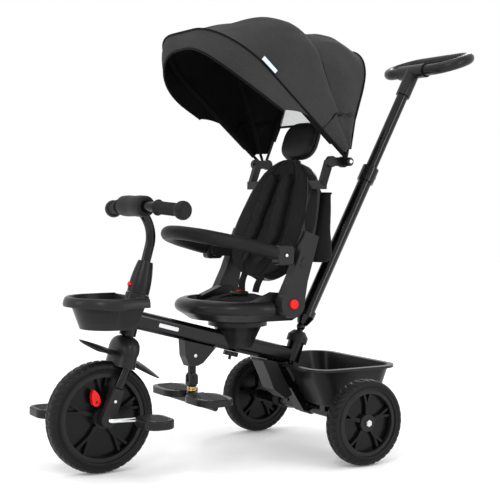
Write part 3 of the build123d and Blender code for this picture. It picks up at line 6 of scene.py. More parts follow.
import bmesh
import bpy
from mathutils import Matrix, Vector, noise


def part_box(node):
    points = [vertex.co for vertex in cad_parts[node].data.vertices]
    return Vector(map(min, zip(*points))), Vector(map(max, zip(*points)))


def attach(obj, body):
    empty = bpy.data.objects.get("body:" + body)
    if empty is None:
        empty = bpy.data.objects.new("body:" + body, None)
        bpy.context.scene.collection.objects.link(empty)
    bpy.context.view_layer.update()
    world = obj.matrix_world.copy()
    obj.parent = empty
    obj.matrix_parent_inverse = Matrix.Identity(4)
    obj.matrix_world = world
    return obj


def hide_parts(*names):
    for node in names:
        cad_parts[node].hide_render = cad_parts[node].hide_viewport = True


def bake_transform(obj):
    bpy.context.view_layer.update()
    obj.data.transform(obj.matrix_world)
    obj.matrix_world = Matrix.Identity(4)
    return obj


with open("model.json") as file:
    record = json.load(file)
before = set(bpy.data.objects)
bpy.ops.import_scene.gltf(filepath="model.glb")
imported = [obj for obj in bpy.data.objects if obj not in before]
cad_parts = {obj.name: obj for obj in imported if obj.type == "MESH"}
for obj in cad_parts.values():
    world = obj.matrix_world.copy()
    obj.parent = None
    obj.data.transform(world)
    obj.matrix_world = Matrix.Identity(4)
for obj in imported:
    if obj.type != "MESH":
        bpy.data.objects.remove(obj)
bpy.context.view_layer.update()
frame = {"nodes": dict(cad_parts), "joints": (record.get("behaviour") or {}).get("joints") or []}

MM = 0.001
JOINTS = {joint["name"]: joint for joint in frame["joints"]}


def centre(node):
    """Middle of a CAD node's box."""
    low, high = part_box(node)
    return (Vector(low) + Vector(high)) / 2


REAR_Y = centre("rear_axle").y


def place(x, y, z):
    """Point given in millimetres from the ground below the rear axle, +Y to the rear."""
    return Vector((x * MM, REAR_Y + y * MM, z * MM))


# ---------------------------------------------------------------- the frame's own planes
STEER_AT = Vector(JOINTS["steering_turn"]["pos_m"])
STEER_UP = Vector(JOINTS["steering_turn"]["axis"])
STEER_BACK = Vector((0, STEER_UP.z, -STEER_UP.y))
HINGE = Vector(JOINTS["backrest_recline"]["pos_m"])
BACK_TILT = math.radians(19.5)
BACK_UP = Vector((0, math.sin(BACK_TILT), math.cos(BACK_TILT)))
BACK_OUT = Vector((0, -math.cos(BACK_TILT), math.sin(BACK_TILT)))
CANOPY_AT = Vector(JOINTS["canopy_fold"]["pos_m"])
GUARD_AT = Vector(JOINTS["guard_ring_lift"]["pos_m"])
X = Vector((1, 0, 0))
Y = Vector((0, 1, 0))
Z = Vector((0, 0, 1))


def on_steer(x, back, up):
    """Point in the steering frame, in millimetres."""
    return STEER_AT + (X * x + STEER_BACK * back + STEER_UP * up) * MM


def on_back(x, up, out):
    """Point in the backrest's frame, in millimetres: along it from the hinge, and out of its front."""
    return HINGE + (X * x + BACK_UP * up + BACK_OUT * out) * MM


def on_canopy(angle, x, reach):
    """Point in a plane through the canopy's pivot axis, leaning forward by angle degrees."""
    lean = math.radians(angle)
    return CANOPY_AT + (X * x + Vector((0, -math.sin(lean), math.cos(lean))) * reach) * MM


# ---------------------------------------------------------------- materials
def node_material(name):
    """Empty node material, its shader and the row-frame coordinates."""
    material = bpy.data.materials.new(name)
    material.use_nodes = True
    tree = material.node_tree
    shader = tree.nodes["Principled BSDF"]
    coords = tree.nodes.new("ShaderNodeTexCoord").outputs["Object"]
    return material, tree, shader, coords


def noise_node(tree, coords, scale, detail=3.0, stretch=None):
    """Noise texture in the row frame, scaled per metre."""
    if stretch:
        mapping = tree.nodes.new("ShaderNodeMapping")
        mapping.inputs["Scale"].default_value = stretch
        tree.links.new(coords, mapping.inputs["Vector"])
        coords = mapping.outputs["Vector"]
    texture = tree.nodes.new("ShaderNodeTexNoise")
    texture.inputs["Scale"].default_value = scale
    texture.inputs["Detail"].default_value = detail
    tree.links.new(coords, texture.inputs["Vector"])
    return texture.outputs["Fac"]


def ramp(tree, value, low, high, start=0.3, end=0.7):
    """Colour ramp from low to high."""
    node = tree.nodes.new("ShaderNodeValToRGB")
    node.color_ramp.elements[0].position = start
    node.color_ramp.elements[1].position = end
    node.color_ramp.elements[0].color = (*low, 1)
    node.color_ramp.elements[1].color = (*high, 1)
    tree.links.new(value, node.inputs["Fac"])
    return node.outputs["Color"]


def ranged(tree, value, low, high):
    """Maps 0..1 to low..high."""
    node = tree.nodes.new("ShaderNodeMapRange")
    node.inputs["To Min"].default_value = low
    node.inputs["To Max"].default_value = high
    tree.links.new(value, node.inputs["Value"])
    return node.outputs["Result"]


def bump(tree, shader, height, strength, distance, normal=None):
    """Bump on the shader from a height."""
    node = tree.nodes.new("ShaderNodeBump")
    node.inputs["Strength"].default_value = strength
    node.inputs["Distance"].default_value = distance
    tree.links.new(height, node.inputs["Height"])
    if normal:
        tree.links.new(normal, node.inputs["Normal"])
    tree.links.new(node.outputs["Normal"], shader.inputs["Normal"])
    return node.outputs["Normal"]


def mix_colour(tree, factor, a, b):
    """Mixes two colours."""
    node = tree.nodes.new("ShaderNodeMix")
    node.data_type = "RGBA"
    tree.links.new(factor, node.inputs["Factor"])
    for socket, value in ((node.inputs["A"], a), (node.inputs["B"], b)):
        if isinstance(value, tuple):
            socket.default_value = (*value, 1)
        else:
            tree.links.new(value, socket)
    return node.outputs["Result"]


def edge_wear_and_crease_shade(tree, colour, light):
    """Slightly paler convex edges as wear, and darker creases and hollows as painted shade."""
    geometry = tree.nodes.new("ShaderNodeNewGeometry")
    # Pointiness mask: convex edges take the paler wear colour, flat faces half of it, and creases keep the dark
    # colour as painted shade.
    edges = ranged(tree, geometry.outputs["Pointiness"], -8.0, 9.0)
    clamp = tree.nodes.new("ShaderNodeClamp")
    tree.links.new(edges, clamp.inputs["Value"])
    return mix_colour(tree, clamp.outputs["Result"], colour, light)


def moulded(name, dark, light, rough, grain=900.0, grain_depth=0.12, coat=0.0, wear=None, shine=0.17):
    """Moulded plastic: faint mottling, fine spark-eroded grain, paler worn edges and painted shade in creases."""
    material, tree, shader, coords = node_material(name)
    colour = ramp(tree, noise_node(tree, coords, 14.0, 4), dark, light)
    # Edge mix: worn convex edges, and painted shade in creases.
    if wear:
        colour = edge_wear_and_crease_shade(tree, colour, wear)
    tree.links.new(colour, shader.inputs["Base Color"])
    fine = noise_node(tree, coords, grain, 2)
    uneven = ranged(tree, noise_node(tree, coords, 30.0), rough - 0.05, rough + 0.07)
    tree.links.new(uneven, shader.inputs["Roughness"])
    bump(tree, shader, fine, grain_depth, 0.0004)
    shader.inputs["Specular IOR Level"].default_value = shine
    shader.inputs["Coat Weight"].default_value = coat
    shader.inputs["Coat Roughness"].default_value = 0.12
    return material


def enamel(name, dark, light, rough=0.16):
    """Glossy painted steel with a slight orange peel."""
    material, tree, shader, coords = node_material(name)
    tree.links.new(ramp(tree, noise_node(tree, coords, 9.0), dark, light), shader.inputs["Base Color"])
    uneven = ranged(tree, noise_node(tree, coords, 60.0), rough - 0.03, rough + 0.05)
    tree.links.new(uneven, shader.inputs["Roughness"])
    bump(tree, shader, noise_node(tree, coords, 90.0, 1), 0.02, 0.0004)
    shader.inputs["Specular IOR Level"].default_value = 0.3
    return material


def metal(name, colour, rough, brushed=False):
    """Bare metal with streaked or even roughness."""
    material, tree, shader, coords = node_material(name)
    stretch = (4.0, 60.0, 60.0) if brushed else None
    shader.inputs["Metallic"].default_value = 1.0
    low = tuple(c * 0.85 for c in colour)
    tree.links.new(ramp(tree, noise_node(tree, coords, 25.0), low, colour), shader.inputs["Base Color"])
    streaks = noise_node(tree, coords, 40.0, 3, stretch)
    tree.links.new(ranged(tree, streaks, rough * 0.7, rough * 1.4), shader.inputs["Roughness"])
    bump(tree, shader, noise_node(tree, coords, 300.0, 1), 0.02, 0.0003)
    return material


def fabric(name, dark, light, weave=620.0, fleck=1500.0, depth=0.5, sheen=0.03):
    """Woven cloth: crossed threads, heathered colour and a soft large-scale unevenness."""
    material, tree, shader, coords = node_material(name)
    heather = ramp(tree, noise_node(tree, coords, fleck, 1), dark, light, 0.35, 0.65)
    soft = ramp(tree, noise_node(tree, coords, 7.0, 4), (0.82, 0.82, 0.82), (1.08, 1.08, 1.08))
    blend_node = tree.nodes.new("ShaderNodeMix")
    blend_node.data_type = "RGBA"
    blend_node.blend_type = "MULTIPLY"
    blend_node.inputs["Factor"].default_value = 1.0
    tree.links.new(heather, blend_node.inputs["A"])
    tree.links.new(soft, blend_node.inputs["B"])
    tree.links.new(blend_node.outputs["Result"], shader.inputs["Base Color"])
    heights = []
    for direction in ("X", "Z"):
        wave = tree.nodes.new("ShaderNodeTexWave")
        wave.bands_direction = direction
        wave.inputs["Scale"].default_value = weave
        wave.inputs["Distortion"].default_value = 1.2
        tree.links.new(coords, wave.inputs["Vector"])
        heights.append(wave.outputs["Fac"])
    both = tree.nodes.new("ShaderNodeMath")
    both.operation = "MAXIMUM"
    tree.links.new(heights[0], both.inputs[0])
    tree.links.new(heights[1], both.inputs[1])
    threads = bump(tree, shader, both.outputs["Value"], depth, 0.0003)
    bump(tree, shader, noise_node(tree, coords, 45.0, 3), 0.25, 0.0012, threads)
    shader.inputs["Roughness"].default_value = 0.92
    shader.inputs["Specular IOR Level"].default_value = 0.12
    shader.inputs["Sheen Weight"].default_value = sheen
    shader.inputs["Sheen Roughness"].default_value = 0.5
    return material


def foam(name, dark, light, rough=0.85, pore=420.0, depth=0.35):
    """Soft foam or rubber with small pores."""
    material, tree, shader, coords = node_material(name)
    tree.links.new(ramp(tree, noise_node(tree, coords, 20.0, 4), dark, light), shader.inputs["Base Color"])
    uneven = ranged(tree, noise_node(tree, coords, 90.0), rough - 0.08, rough + 0.08)
    tree.links.new(uneven, shader.inputs["Roughness"])
    bump(tree, shader, noise_node(tree, coords, pore, 4), depth, 0.0008)
    shader.inputs["Specular IOR Level"].default_value = 0.18
    return material


PLASTIC = moulded("satin_black_plastic", (0.003, 0.003, 0.0035), (0.006, 0.006, 0.0065), 0.3,
                  wear=(0.015, 0.015, 0.016))
RIM = moulded("wheel_plastic", (0.002, 0.002, 0.0024), (0.004, 0.004, 0.0045), 0.24,
              wear=(0.012, 0.012, 0.013))
GREY = moulded("grey_plastic", (0.16, 0.16, 0.17), (0.2, 0.2, 0.21), 0.35)
RED = moulded("red_plastic", (0.66, 0.004, 0.004), (0.76, 0.007, 0.006), 0.25, coat=0.15)
WHITE = moulded("white_plastic", (0.7, 0.7, 0.7), (0.8, 0.8, 0.8), 0.3, shine=0.5)
PAINT = enamel("gloss_black_paint", (0.0015, 0.0015, 0.0018), (0.003, 0.003, 0.0035))
CHROME = metal("chrome", (0.86, 0.87, 0.89), 0.08)
STEEL = metal("zinc_steel", (0.68, 0.68, 0.7), 0.28, brushed=True)
BRASS = metal("yellow_zinc", (0.78, 0.58, 0.24), 0.25)
TYRE = foam("foam_tyre", (0.003, 0.003, 0.0034), (0.006, 0.006, 0.0066), 0.42, 500.0, 0.2)
FOAM = foam("foam_cover", (0.004, 0.004, 0.0045), (0.009, 0.009, 0.0098), 0.55, 380.0, 0.3)
GRIP = foam("grip_rubber", (0.004, 0.004, 0.0045), (0.008, 0.008, 0.0088), 0.5, 700.0, 0.3)
CANVAS = fabric("canopy_cloth", (0.017, 0.017, 0.0175), (0.05, 0.05, 0.051))
BAG = fabric("bag_cloth", (0.003, 0.003, 0.0032), (0.009, 0.009, 0.0095))
# Near-black cloth for the bow covers and sleeves, also put on the canopy's inner faces as painted shade.
BLACK_CLOTH_AND_SHADE = fabric("black_cloth_and_painted_shade", (0.002, 0.002, 0.002), (0.005, 0.005, 0.005), sheen=0.0)
LINER = fabric("seat_cloth", (0.004, 0.004, 0.0045), (0.012, 0.012, 0.013), weave=500.0)
WEBBING = fabric("webbing", (0.004, 0.004, 0.0045), (0.009, 0.009, 0.01), weave=900.0, depth=0.8)
PIPING = fabric("piping", (0.0015, 0.0015, 0.0018), (0.004, 0.004, 0.0045), weave=1200.0)
TAG = fabric("plain_tag", (0.5, 0.58, 0.66), (0.72, 0.76, 0.8), weave=1400.0, depth=0.2)
STRIPE = enamel("stripe", (0.62, 0.62, 0.64), (0.72, 0.72, 0.74), 0.3)


def mesh_cloth():
    """Pale see-through netting."""
    material, tree, shader, coords = node_material("window_mesh")
    colour = ramp(tree, noise_node(tree, coords, 900.0, 1), (0.3, 0.31, 0.33), (0.6, 0.62, 0.65))
    tree.links.new(colour, shader.inputs["Base Color"])
    shader.inputs["Roughness"].default_value = 0.9
    shader.inputs["Alpha"].default_value = 0.45
    return material


NETTING = mesh_cloth()

NODE_LOOKS = {
    PLASTIC: ["pedal_left", "pedal_right", "fork_boots", "crown_cover", "mudguard", "head_bushes",
              "stem_sleeve",
              "front_tray", "socket_cap", "linkage_housing", "rear_basket", "brake_pedal", "foot_bracket",
              "foot_stem",
              "footrest", "seat_pedestal", "seat_clamp_knob", "seat_pan", "back_shell", "back_arms",
              "guard_button_left", "guard_button_right", "push_ring", "canopy_frame"],
    RIM: ["front_rim", "rear_rim_left", "rear_rim_right"],
    RED: ["clutch_lever", "stem_button", "recline_button_left", "recline_button_right"],
    PAINT: ["fork", "head_tube", "handlebar", "main_tube", "handle_socket", "rear_leg", "rear_axle_tube",
            "handle_outer_tube", "handle_inner_tube"],
    CHROME: ["crank"],
    STEEL: ["rear_axle"],
    BLACK_CLOTH_AND_SHADE: ["canopy_mid_bow", "canopy_front_bow"],
    BRASS: ["foot_spring"],
    GREY: ["handle_release_button", "height_button"],
}
SOFT_EDGES = {"front_tray": 1.2, "rear_basket": 1.2, "seat_pan": 3.0, "back_shell": 2.5, "back_arms": 4.0,
              "linkage_housing": 1.0, "foot_bracket": 2.5, "crown_cover": 2.0, "stem_sleeve": 1.0,
              "pedal_left": 0.8, "pedal_right": 0.8, "footrest": 1.2, "seat_pedestal": 2.0,
              "front_rim": 0.8,
              "rear_rim_left": 0.8, "rear_rim_right": 0.8, "socket_cap": 1.5, "push_ring": 0.8,
              "handle_outer_tube": 1.0, "rear_leg": 2.0, "brake_pedal": 1.5, "seat_clamp_knob": 1.2,
              "canopy_frame": 1.0, "mudguard": 0.6}


def smooth(obj, angle=35):
    """Smooth shading that keeps sharp edges sharp."""
    for polygon in obj.data.polygons:
        polygon.use_smooth = True
    mesh = obj.data
    edit = bmesh.new()
    edit.from_mesh(mesh)
    for edge in edit.edges:
        edge.smooth = len(edge.link_faces) == 2 and edge.calc_face_angle(0) < math.radians(angle)
    edit.to_mesh(mesh)
    edit.free()


for look, names in NODE_LOOKS.items():
    for name in names:
        node = frame["nodes"][name]
        node.data.materials.clear()
        node.data.materials.append(look)
for name, width in SOFT_EDGES.items():
    node = frame["nodes"][name]
    rounding = node.modifiers.new("edges", "BEVEL")
    rounding.width = width * MM
    rounding.segments = 3
    rounding.limit_method = "ANGLE"
    rounding.angle_limit = math.radians(38)
    rounding.harden_normals = False


# ---------------------------------------------------------------- mesh helpers
def new_piece(name, vertices, faces, material, body=None, shade=35):
    """Mesh object from lists, smooth shaded, riding on a body."""
    mesh = bpy.data.meshes.new(name)
    mesh.from_pydata([tuple(v) for v in vertices], [], faces)
    mesh.update()
    obj = bpy.data.objects.new(name, mesh)
    bpy.context.scene.collection.objects.link(obj)
    mesh.materials.append(material)
    edit = bmesh.new()
    edit.from_mesh(mesh)
    bmesh.ops.remove_doubles(edit, verts=edit.verts, dist=1e-6)
    bmesh.ops.recalc_face_normals(edit, faces=edit.faces)
    edit.to_mesh(mesh)
    edit.free()
    smooth(obj, shade)
    if body:
        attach(obj, body)
    return obj


def grid_faces(rows, columns, close_rows=False, close_columns=False):
    """Quads of a rows x columns grid of points."""
    faces = []
    for i in range(rows if close_rows else rows - 1):
        for j in range(columns if close_columns else columns - 1):
            a = i * columns + j
            b = i * columns + (j + 1) % columns
            c = ((i + 1) % rows) * columns + (j + 1) % columns
            d = ((i + 1) % rows) * columns + j
            faces.append((a, b, c, d))
    return faces


def lathe(name, origin, axis, profile, material, body, turns=48, ripple=None, closed=False):
    """Turned piece: profile is a list of (radius, distance along the axis) in millimetres."""
    axis = axis.normalized()
    side = axis.orthogonal().normalized()
    up = axis.cross(side)
    points = []
    for j in range(turns):
        angle = 2 * math.pi * j / turns
        for radius, along in profile:
            if ripple:
                radius, along = ripple(radius, along, angle)
            outward = side * math.cos(angle) + up * math.sin(angle)
            points.append(origin + outward * radius * MM + axis * along * MM)
    faces = grid_faces(turns, len(profile), close_rows=True, close_columns=closed)
    return new_piece(name, points, faces, material, body)


def tube(name, path, radius, material, body, sides=20, closed=False, shape=None):
    """Tube along a list of points; shape(t, angle) scales the radius."""
    count = len(path)
    points = []
    reference = Z
    for i, point in enumerate(path):
        before = path[(i - 1) % count] if closed or i > 0 else path[i]
        after = path[(i + 1) % count] if closed or i < count - 1 else path[i]
        along = (after - before).normalized()
        side = along.cross(reference)
        if side.length < 0.05:
            side = along.cross(X)
        side.normalize()
        up = side.cross(along)
        for j in range(sides):
            angle = 2 * math.pi * j / sides
            scale = shape(i / (count - 1), angle) if shape else 1.0
            points.append(point + (side * math.cos(angle) + up * math.sin(angle)) * radius * scale * MM)
    faces = grid_faces(count, sides, close_rows=closed, close_columns=True)
    if not closed:
        faces.append(tuple(range(sides)))
        faces.append(tuple(range((count - 1) * sides, count * sides)))
    return new_piece(name, points, faces, material, body)


def rounded_path(corners, radii, straight=6, bend=12):
    """2-D polyline with filleted corners, always the same number of points."""
    result = []
    last = Vector(corners[0])
    for i in range(1, len(corners) - 1):
        corner = Vector(corners[i])
        into = (corner - Vector(corners[i - 1])).normalized()
        out = (Vector(corners[i + 1]) - corner).normalized()
        turn = into.angle(out)
        cut = radii[i - 1] * math.tan(turn / 2)
        start = corner - into * cut
        end = corner + out * cut
        for k in range(straight):
            result.append(last.lerp(start, k / straight))
        normal = (out - into).normalized()
        middle = corner + normal * radii[i - 1] / math.cos(turn / 2)
        arm_a = start - middle
        arm_b = end - middle
        for k in range(bend):
            share = k / bend
            weight_a = math.sin((1 - share) * turn) / math.sin(turn)
            weight_b = math.sin(share * turn) / math.sin(turn)
            result.append(middle + arm_a * weight_a + arm_b * weight_b)
        last = end
    final = Vector(corners[-1])
    for k in range(straight + 1):
        result.append(last.lerp(final, k / straight))
    return result


def superellipsoid(name, middle, axes, sizes, powers, material, body, detail=(28, 48), shape=None):
    """Crowned closed form: axes are three directions, sizes half-lengths in millimetres."""
    points = []
    rows, columns = detail

    def power(value, exponent):
        return math.copysign(abs(value) ** exponent, value)

    for i in range(rows + 1):
        lat = -math.pi / 2 + math.pi * i / rows
        for j in range(columns):
            lon = 2 * math.pi * j / columns
            local = [
                power(math.cos(lat), powers[0]) * power(math.cos(lon), powers[1]),
                power(math.cos(lat), powers[0]) * power(math.sin(lon), powers[1]),
                power(math.sin(lat), powers[0]),
            ]
            if shape:
                local = shape(local)
            point = middle.copy()
            for value, axis, size in zip(local, axes, sizes):
                point += axis * value * size * MM
            points.append(point)
    faces = grid_faces(rows + 1, columns, close_columns=True)
    return new_piece(name, points, faces, material, body, shade=60)


def slab(name, outline, base, right, up, out, thickness, material, body, edge=1.0):
    """Flat piece from a 2-D outline in millimetres, extruded and with rounded edges."""
    count = len(outline)
    points = [base + (right * x + up * y) * MM for x, y in outline]
    points += [base + (right * x + up * y + out * thickness) * MM for x, y in outline]
    faces = [tuple(range(count)), tuple(range(2 * count - 1, count - 1, -1))]
    faces += [(i, (i + 1) % count, count + (i + 1) % count, count + i) for i in range(count)]
    obj = new_piece(name, points, faces, material, body)
    if edge:
        rounding = obj.modifiers.new("edges", "BEVEL")
        rounding.width = edge * MM
        rounding.segments = 3
        rounding.limit_method = "ANGLE"
    return obj


def rounded_rectangle(width, height, corner, steps=6):
    """2-D outline of a rounded rectangle."""
    outline = []
    for cx, cy, start in ((1, 1, 0), (-1, 1, 90), (-1, -1, 180), (1, -1, 270)):
        for k in range(steps + 1):
            angle = math.radians(start + 90 * k / steps)
            outline.append((
                cx * (width / 2 - corner) + corner * math.cos(angle),
                cy * (height / 2 - corner) + corner * math.sin(angle),
            ))
    return outline


def rivet(name, at, axis, radius, material, body, height=2.0):
    """Domed rivet or screw head."""
    profile = [(0.01, height), (radius * 0.5, height * 0.93), (radius * 0.85, height * 0.6)]
    profile += [(radius, 0.0), (radius, -1.0)]
    return lathe(name, at, axis, profile, material, body, turns=20)


# ---------------------------------------------------------------- tyres
def tread_tyre(node, body, rim_radius, lugs):
    """Foam tyre with V-shaped tread grooves and a raised ring on each sidewall."""
    low, high = (Vector(c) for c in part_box(node))
    middle = (low + high) / 2
    radius = (high.z - low.z) / 2 / MM
    half = (high.x - low.x) / 2 / MM
    across = 22
    profile = [(-half + 4, rim_radius), (-half + 1, rim_radius + 1), (-half + 0.4, rim_radius + 5)]
    profile += [(-half + 2.0, rim_radius + 6.2), (-half + 1.8, radius * 0.86),
                (-half + 0.3, radius * 0.875)]
    for k in range(across + 1):
        share = -1 + 2 * k / across
        x = half * 0.98 * math.sin(share * math.pi / 2)
        bulge = math.sqrt(max(0, 1 - (abs(x) / half) ** 2.6))
        profile.append((x, radius * 0.9 + (radius * 0.1 - 0.1) * bulge))
    profile += [(-x, r) for x, r in reversed(profile[:6])]
    turns = lugs * 8
    points = []
    for j in range(turns):
        angle = 2 * math.pi * j / turns
        for x, r in profile:
            depth = 0.0
            if r > radius * 0.9:
                phase = (j / 8 + abs(x) / half * 0.9) % 1.0
                if phase < 0.3 and abs(x) > half * 0.12:
                    depth = 1.9
                if abs(x) < half * 0.07:
                    depth = 1.4
            rr = (r - depth) * MM
            points.append(middle + Vector((x * MM, -math.sin(angle) * rr, math.cos(angle) * rr)))
    obj = new_piece(node + "_tread", points, grid_faces(turns, len(profile), True, True), TYRE, body,
                    28)
    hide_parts(node)
    return obj


tread_tyre("front_tyre", "front_wheel", 99, 44)
tread_tyre("rear_tyre_left", "rear_wheel_left", 77, 36)
tread_tyre("rear_tyre_right", "rear_wheel_right", 77, 36)

# ---------------------------------------------------------------- handlebar pad and grips
BAR_BACK, BAR_UP = -59.3, 472.3
BAR_BEND, BAR_SWEEP, BAR_HALF = 62.0, 30.0, 172.0
bar_middle = on_steer(0, BAR_BACK, BAR_UP)


def pad_profile():
    """Foam sleeve: drawn-in ends, a faint swell and a stitched line near each end."""
    half, radius = 58.0, 24.0
    profile = [(11.4, -half + 2)]
    for k in range(41):
        share = -1 + 2 * k / 40
        along = half * share
        edge = min(1.0, (1 - abs(share)) / 0.12)
        r = radius * (0.72 + 0.28 * math.sqrt(1 - (1 - edge) ** 2)) - 0.8 * math.cos(share * math.pi) ** 2
        if abs(abs(along) - half * 0.86) < 1.6:
            r -= 0.9
        profile.append((r, along))
    profile.append((11.4, half - 2))
    return profile


bar_pad = lathe("bar_foam", bar_middle, X, pad_profile(), FOAM, "handlebars", 56)
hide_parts("handlebar_pad")
slab("bar_foam_seam", rounded_rectangle(104, 3, 1.4), bar_middle + STEER_BACK * 0.0232, X, STEER_UP,
     STEER_BACK, 1.0,
     PIPING, "handlebars", 0.3)

for side, hand in ((1, "left"), (-1, "right")):
    reach = Vector((BAR_HALF - BAR_BEND, BAR_SWEEP, 0))
    along = (X * side * reach.x + STEER_BACK * reach.y).normalized()
    start = bar_middle + X * side * BAR_BEND * MM + along * 30 * MM
    length = reach.length - 30
    profile = [(11.3, 0.4), (14.6, 0.2), (17.6, 3.0), (18.0, 5.0), (16.4, 8.0), (14.4, 12.0)]
    ribs = 13
    for k in range(ribs * 4):
        at = 13 + (length - 30) * k / (ribs * 4)
        profile.append((14.5 - (0.8 if k % 4 in (0, 1) else 0.0), at))
    profile += [(14.5, length - 14), (18.0, length - 12), (20.3, length - 7), (20.9, length - 1),
                (20.2, length + 4),
                (17.8, length + 8), (14, length + 10), (9, length + 11.4), (0.01, length + 12)]
    grip = lathe(f"grip_{hand}_ribbed", start, along, profile, GRIP, "handlebars", 40)
    if side == 1:
        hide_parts("grips")

# ---------------------------------------------------------------- mudguard and crown cover
MUD_HALF, MUD_FRONT, MUD_REAR, MUD_MID = 30.0, -112.0, 106.0, 146.0


def mudguard_height(along):
    """Height of the mudguard's spine along the steering axis."""
    if along < 0:
        return MUD_MID + 10 * math.sin(math.pi / 2 * along / MUD_FRONT)
    return MUD_MID - 34 * (along / MUD_REAR) ** 1.5


points = []
rows, columns = 48, 17
for i in range(rows + 1):
    along = MUD_FRONT + (MUD_REAR - MUD_FRONT) * i / rows
    share = (along - MUD_FRONT) / (MUD_REAR - MUD_FRONT) * 2 - 1
    half = MUD_HALF * (1 - abs(share) ** 2.2) ** 0.75 + 0.4
    for j in range(columns):
        across = -1 + 2 * j / (columns - 1)
        droop = 13.0 * (half / MUD_HALF) * across ** 2 * (0.35 + 0.65 * min(1.0, abs(share) * 2.4))
        points.append(on_steer(half * across, along, mudguard_height(along) - droop))
wings = new_piece("mudguard_wings", points, grid_faces(rows + 1, columns), PLASTIC, "steering",
                  60)
wing_skin = wings.modifiers.new("skin", "SOLIDIFY")
wing_skin.thickness = 0.0026
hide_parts("mudguard")


def helmet(local):
    """Domed above, with upright flared sides below."""
    x, y, z = local
    if z >= 0:
        return [x, y, z]
    flat = math.hypot(x, y)
    grow = (1 + 0.05 * -z) / max(flat, 0.35) if flat > 0.35 else 1.0
    limit = min(grow, 1 / max(abs(x), abs(y), 0.35))
    return [x * limit, y * limit, z]


crown = superellipsoid("crown_helmet", on_steer(0, 0, 152), (X, STEER_BACK, STEER_UP), (53.5, 25, 36),
                       (0.75, 0.8),
                       PLASTIC, "steering", (28, 56), helmet)
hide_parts("crown_cover")

# tray lip: a rolled band hanging outside the rim
TRAY_R, TRAY_RIM, TRAY_AHEAD, TRAY_DEPTH = 84.0, 391.0, 4.0, 62.0
tray_y = STEER_AT.y - TRAY_AHEAD * MM
rim_line = [(TRAY_R, TRAY_DEPTH - TRAY_DEPTH * k / 6, (1, 0)) for k in range(6)]
for k in range(41):
    angle = math.pi * k / 40
    nx, ny = math.cos(angle), -math.sin(angle)
    rim_line.append((TRAY_R * nx, TRAY_R * ny, (nx, ny)))
rim_line += [(-TRAY_R, TRAY_DEPTH * (k + 1) / 6, (-1, 0)) for k in range(6)]
LIP = ((-2.4, -0.5), (-1.0, 1.4), (2.5, 1.6), (6.5, -1.0), (9.5, -7.0), (11.0, -15.0), (10.4, -19.5),
       (9.0, -19.5),
       (8.6, -15.0), (6.5, -8.0), (3.2, -3.5), (0.0, -2.4))
points = []
for x, y, (nx, ny) in rim_line:
    dip = 5.0 * math.exp(-((y + 16) / 26) ** 2)
    for out, up in LIP:
        sink = up - dip * max(0.0, out) / 11
        points.append(Vector(((x + nx * out) * MM, tray_y + (y + ny * out) * MM, (TRAY_RIM + sink) * MM)))
faces = grid_faces(len(rim_line), len(LIP), close_columns=True)
faces += [tuple(range(len(LIP))), tuple(range((len(rim_line) - 1) * len(LIP), len(rim_line) * len(LIP)))]
new_piece("front_tray_lip", points, faces, PLASTIC, "steering", 50)

# ---------------------------------------------------------------- guard ring
GUARD_RISE = math.radians(14)
GUARD_BACK = Vector((0, math.cos(GUARD_RISE), -math.sin(GUARD_RISE)))
GUARD_X, GUARD_START, GUARD_STRAIGHT = 158.2, 20.0, 38.0
ring_path = [GUARD_AT
             + (X * GUARD_X - GUARD_BACK * (GUARD_START + (GUARD_STRAIGHT - GUARD_START) * k / 4)) * MM
             for k in range(4)]
for k in range(65):
    angle = math.pi * k / 64
    ring_path.append(GUARD_AT + (X * GUARD_X * math.cos(angle)
                                 - GUARD_BACK * (GUARD_STRAIGHT + GUARD_X * math.sin(angle))) * MM)
ring_path += [Vector((-p.x, p.y, p.z)) for p in reversed(ring_path[:4])]


def ring_shape(t, angle):
    """Foam ring: a fine seam underneath and soft unevenness."""
    swell = 1.0 + 0.012 * math.sin(t * 41) * math.sin(angle * 2 + t * 13)
    seam = math.exp(-((angle - 1.5 * math.pi) / 0.09) ** 2)
    end = min(1.0, min(t, 1 - t) / 0.012)
    return (swell - 0.06 * seam) * (0.86 + 0.14 * end)


guard_foam = tube("guard_ring_foam", ring_path, 16.0, FOAM, "guard", 40, shape=ring_shape)
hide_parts("guard_ring")
for side, hand in ((1, "left"), (-1, "right")):
    inner = GUARD_AT + X * side * 145.4 * MM
    clamp = slab(f"guard_clamp_{hand}", rounded_rectangle(44, 44, 9), inner, Y, Z,
                 X * side, 25.4, PLASTIC, "guard", 3.0)
    rivet(f"guard_rivet_{hand}", GUARD_AT + X * side * 171.2 * MM, X * side, 6.5, PLASTIC, "guard",
          2.2)

# ---------------------------------------------------------------- backrest: liner, shoulder pads, straps, headrest
BACK_WIDTHS = ((48, 4), (54, 52), (66, 88), (90, 121), (120, 143), (156, 150), (190, 146), (230, 132),
               (262, 119),
               (290, 105), (312, 88), (330, 62), (342, 30), (347, 4))


def back_half_width(up):
    """Half-width of the backrest shell at this height along it."""
    for (v0, w0), (v1, w1) in zip(BACK_WIDTHS, BACK_WIDTHS[1:]):
        if up <= v1:
            share = (up - v0) / (v1 - v0)
            return w0 + (w1 - w0) * max(0.0, share)
    return BACK_WIDTHS[-1][1]


LINER_LOW, LINER_HIGH = 43.0, 352.0
SHELL_FACE = -5.6


def liner_half(up):
    """Half-width of the padded cover: just past the shell low down, and wrapped round it above the arms."""
    above = max(0.0, min(1.0, (up - 165) / 40))
    return max(6.0, back_half_width(up) + 1.5 + 5.0 * above)


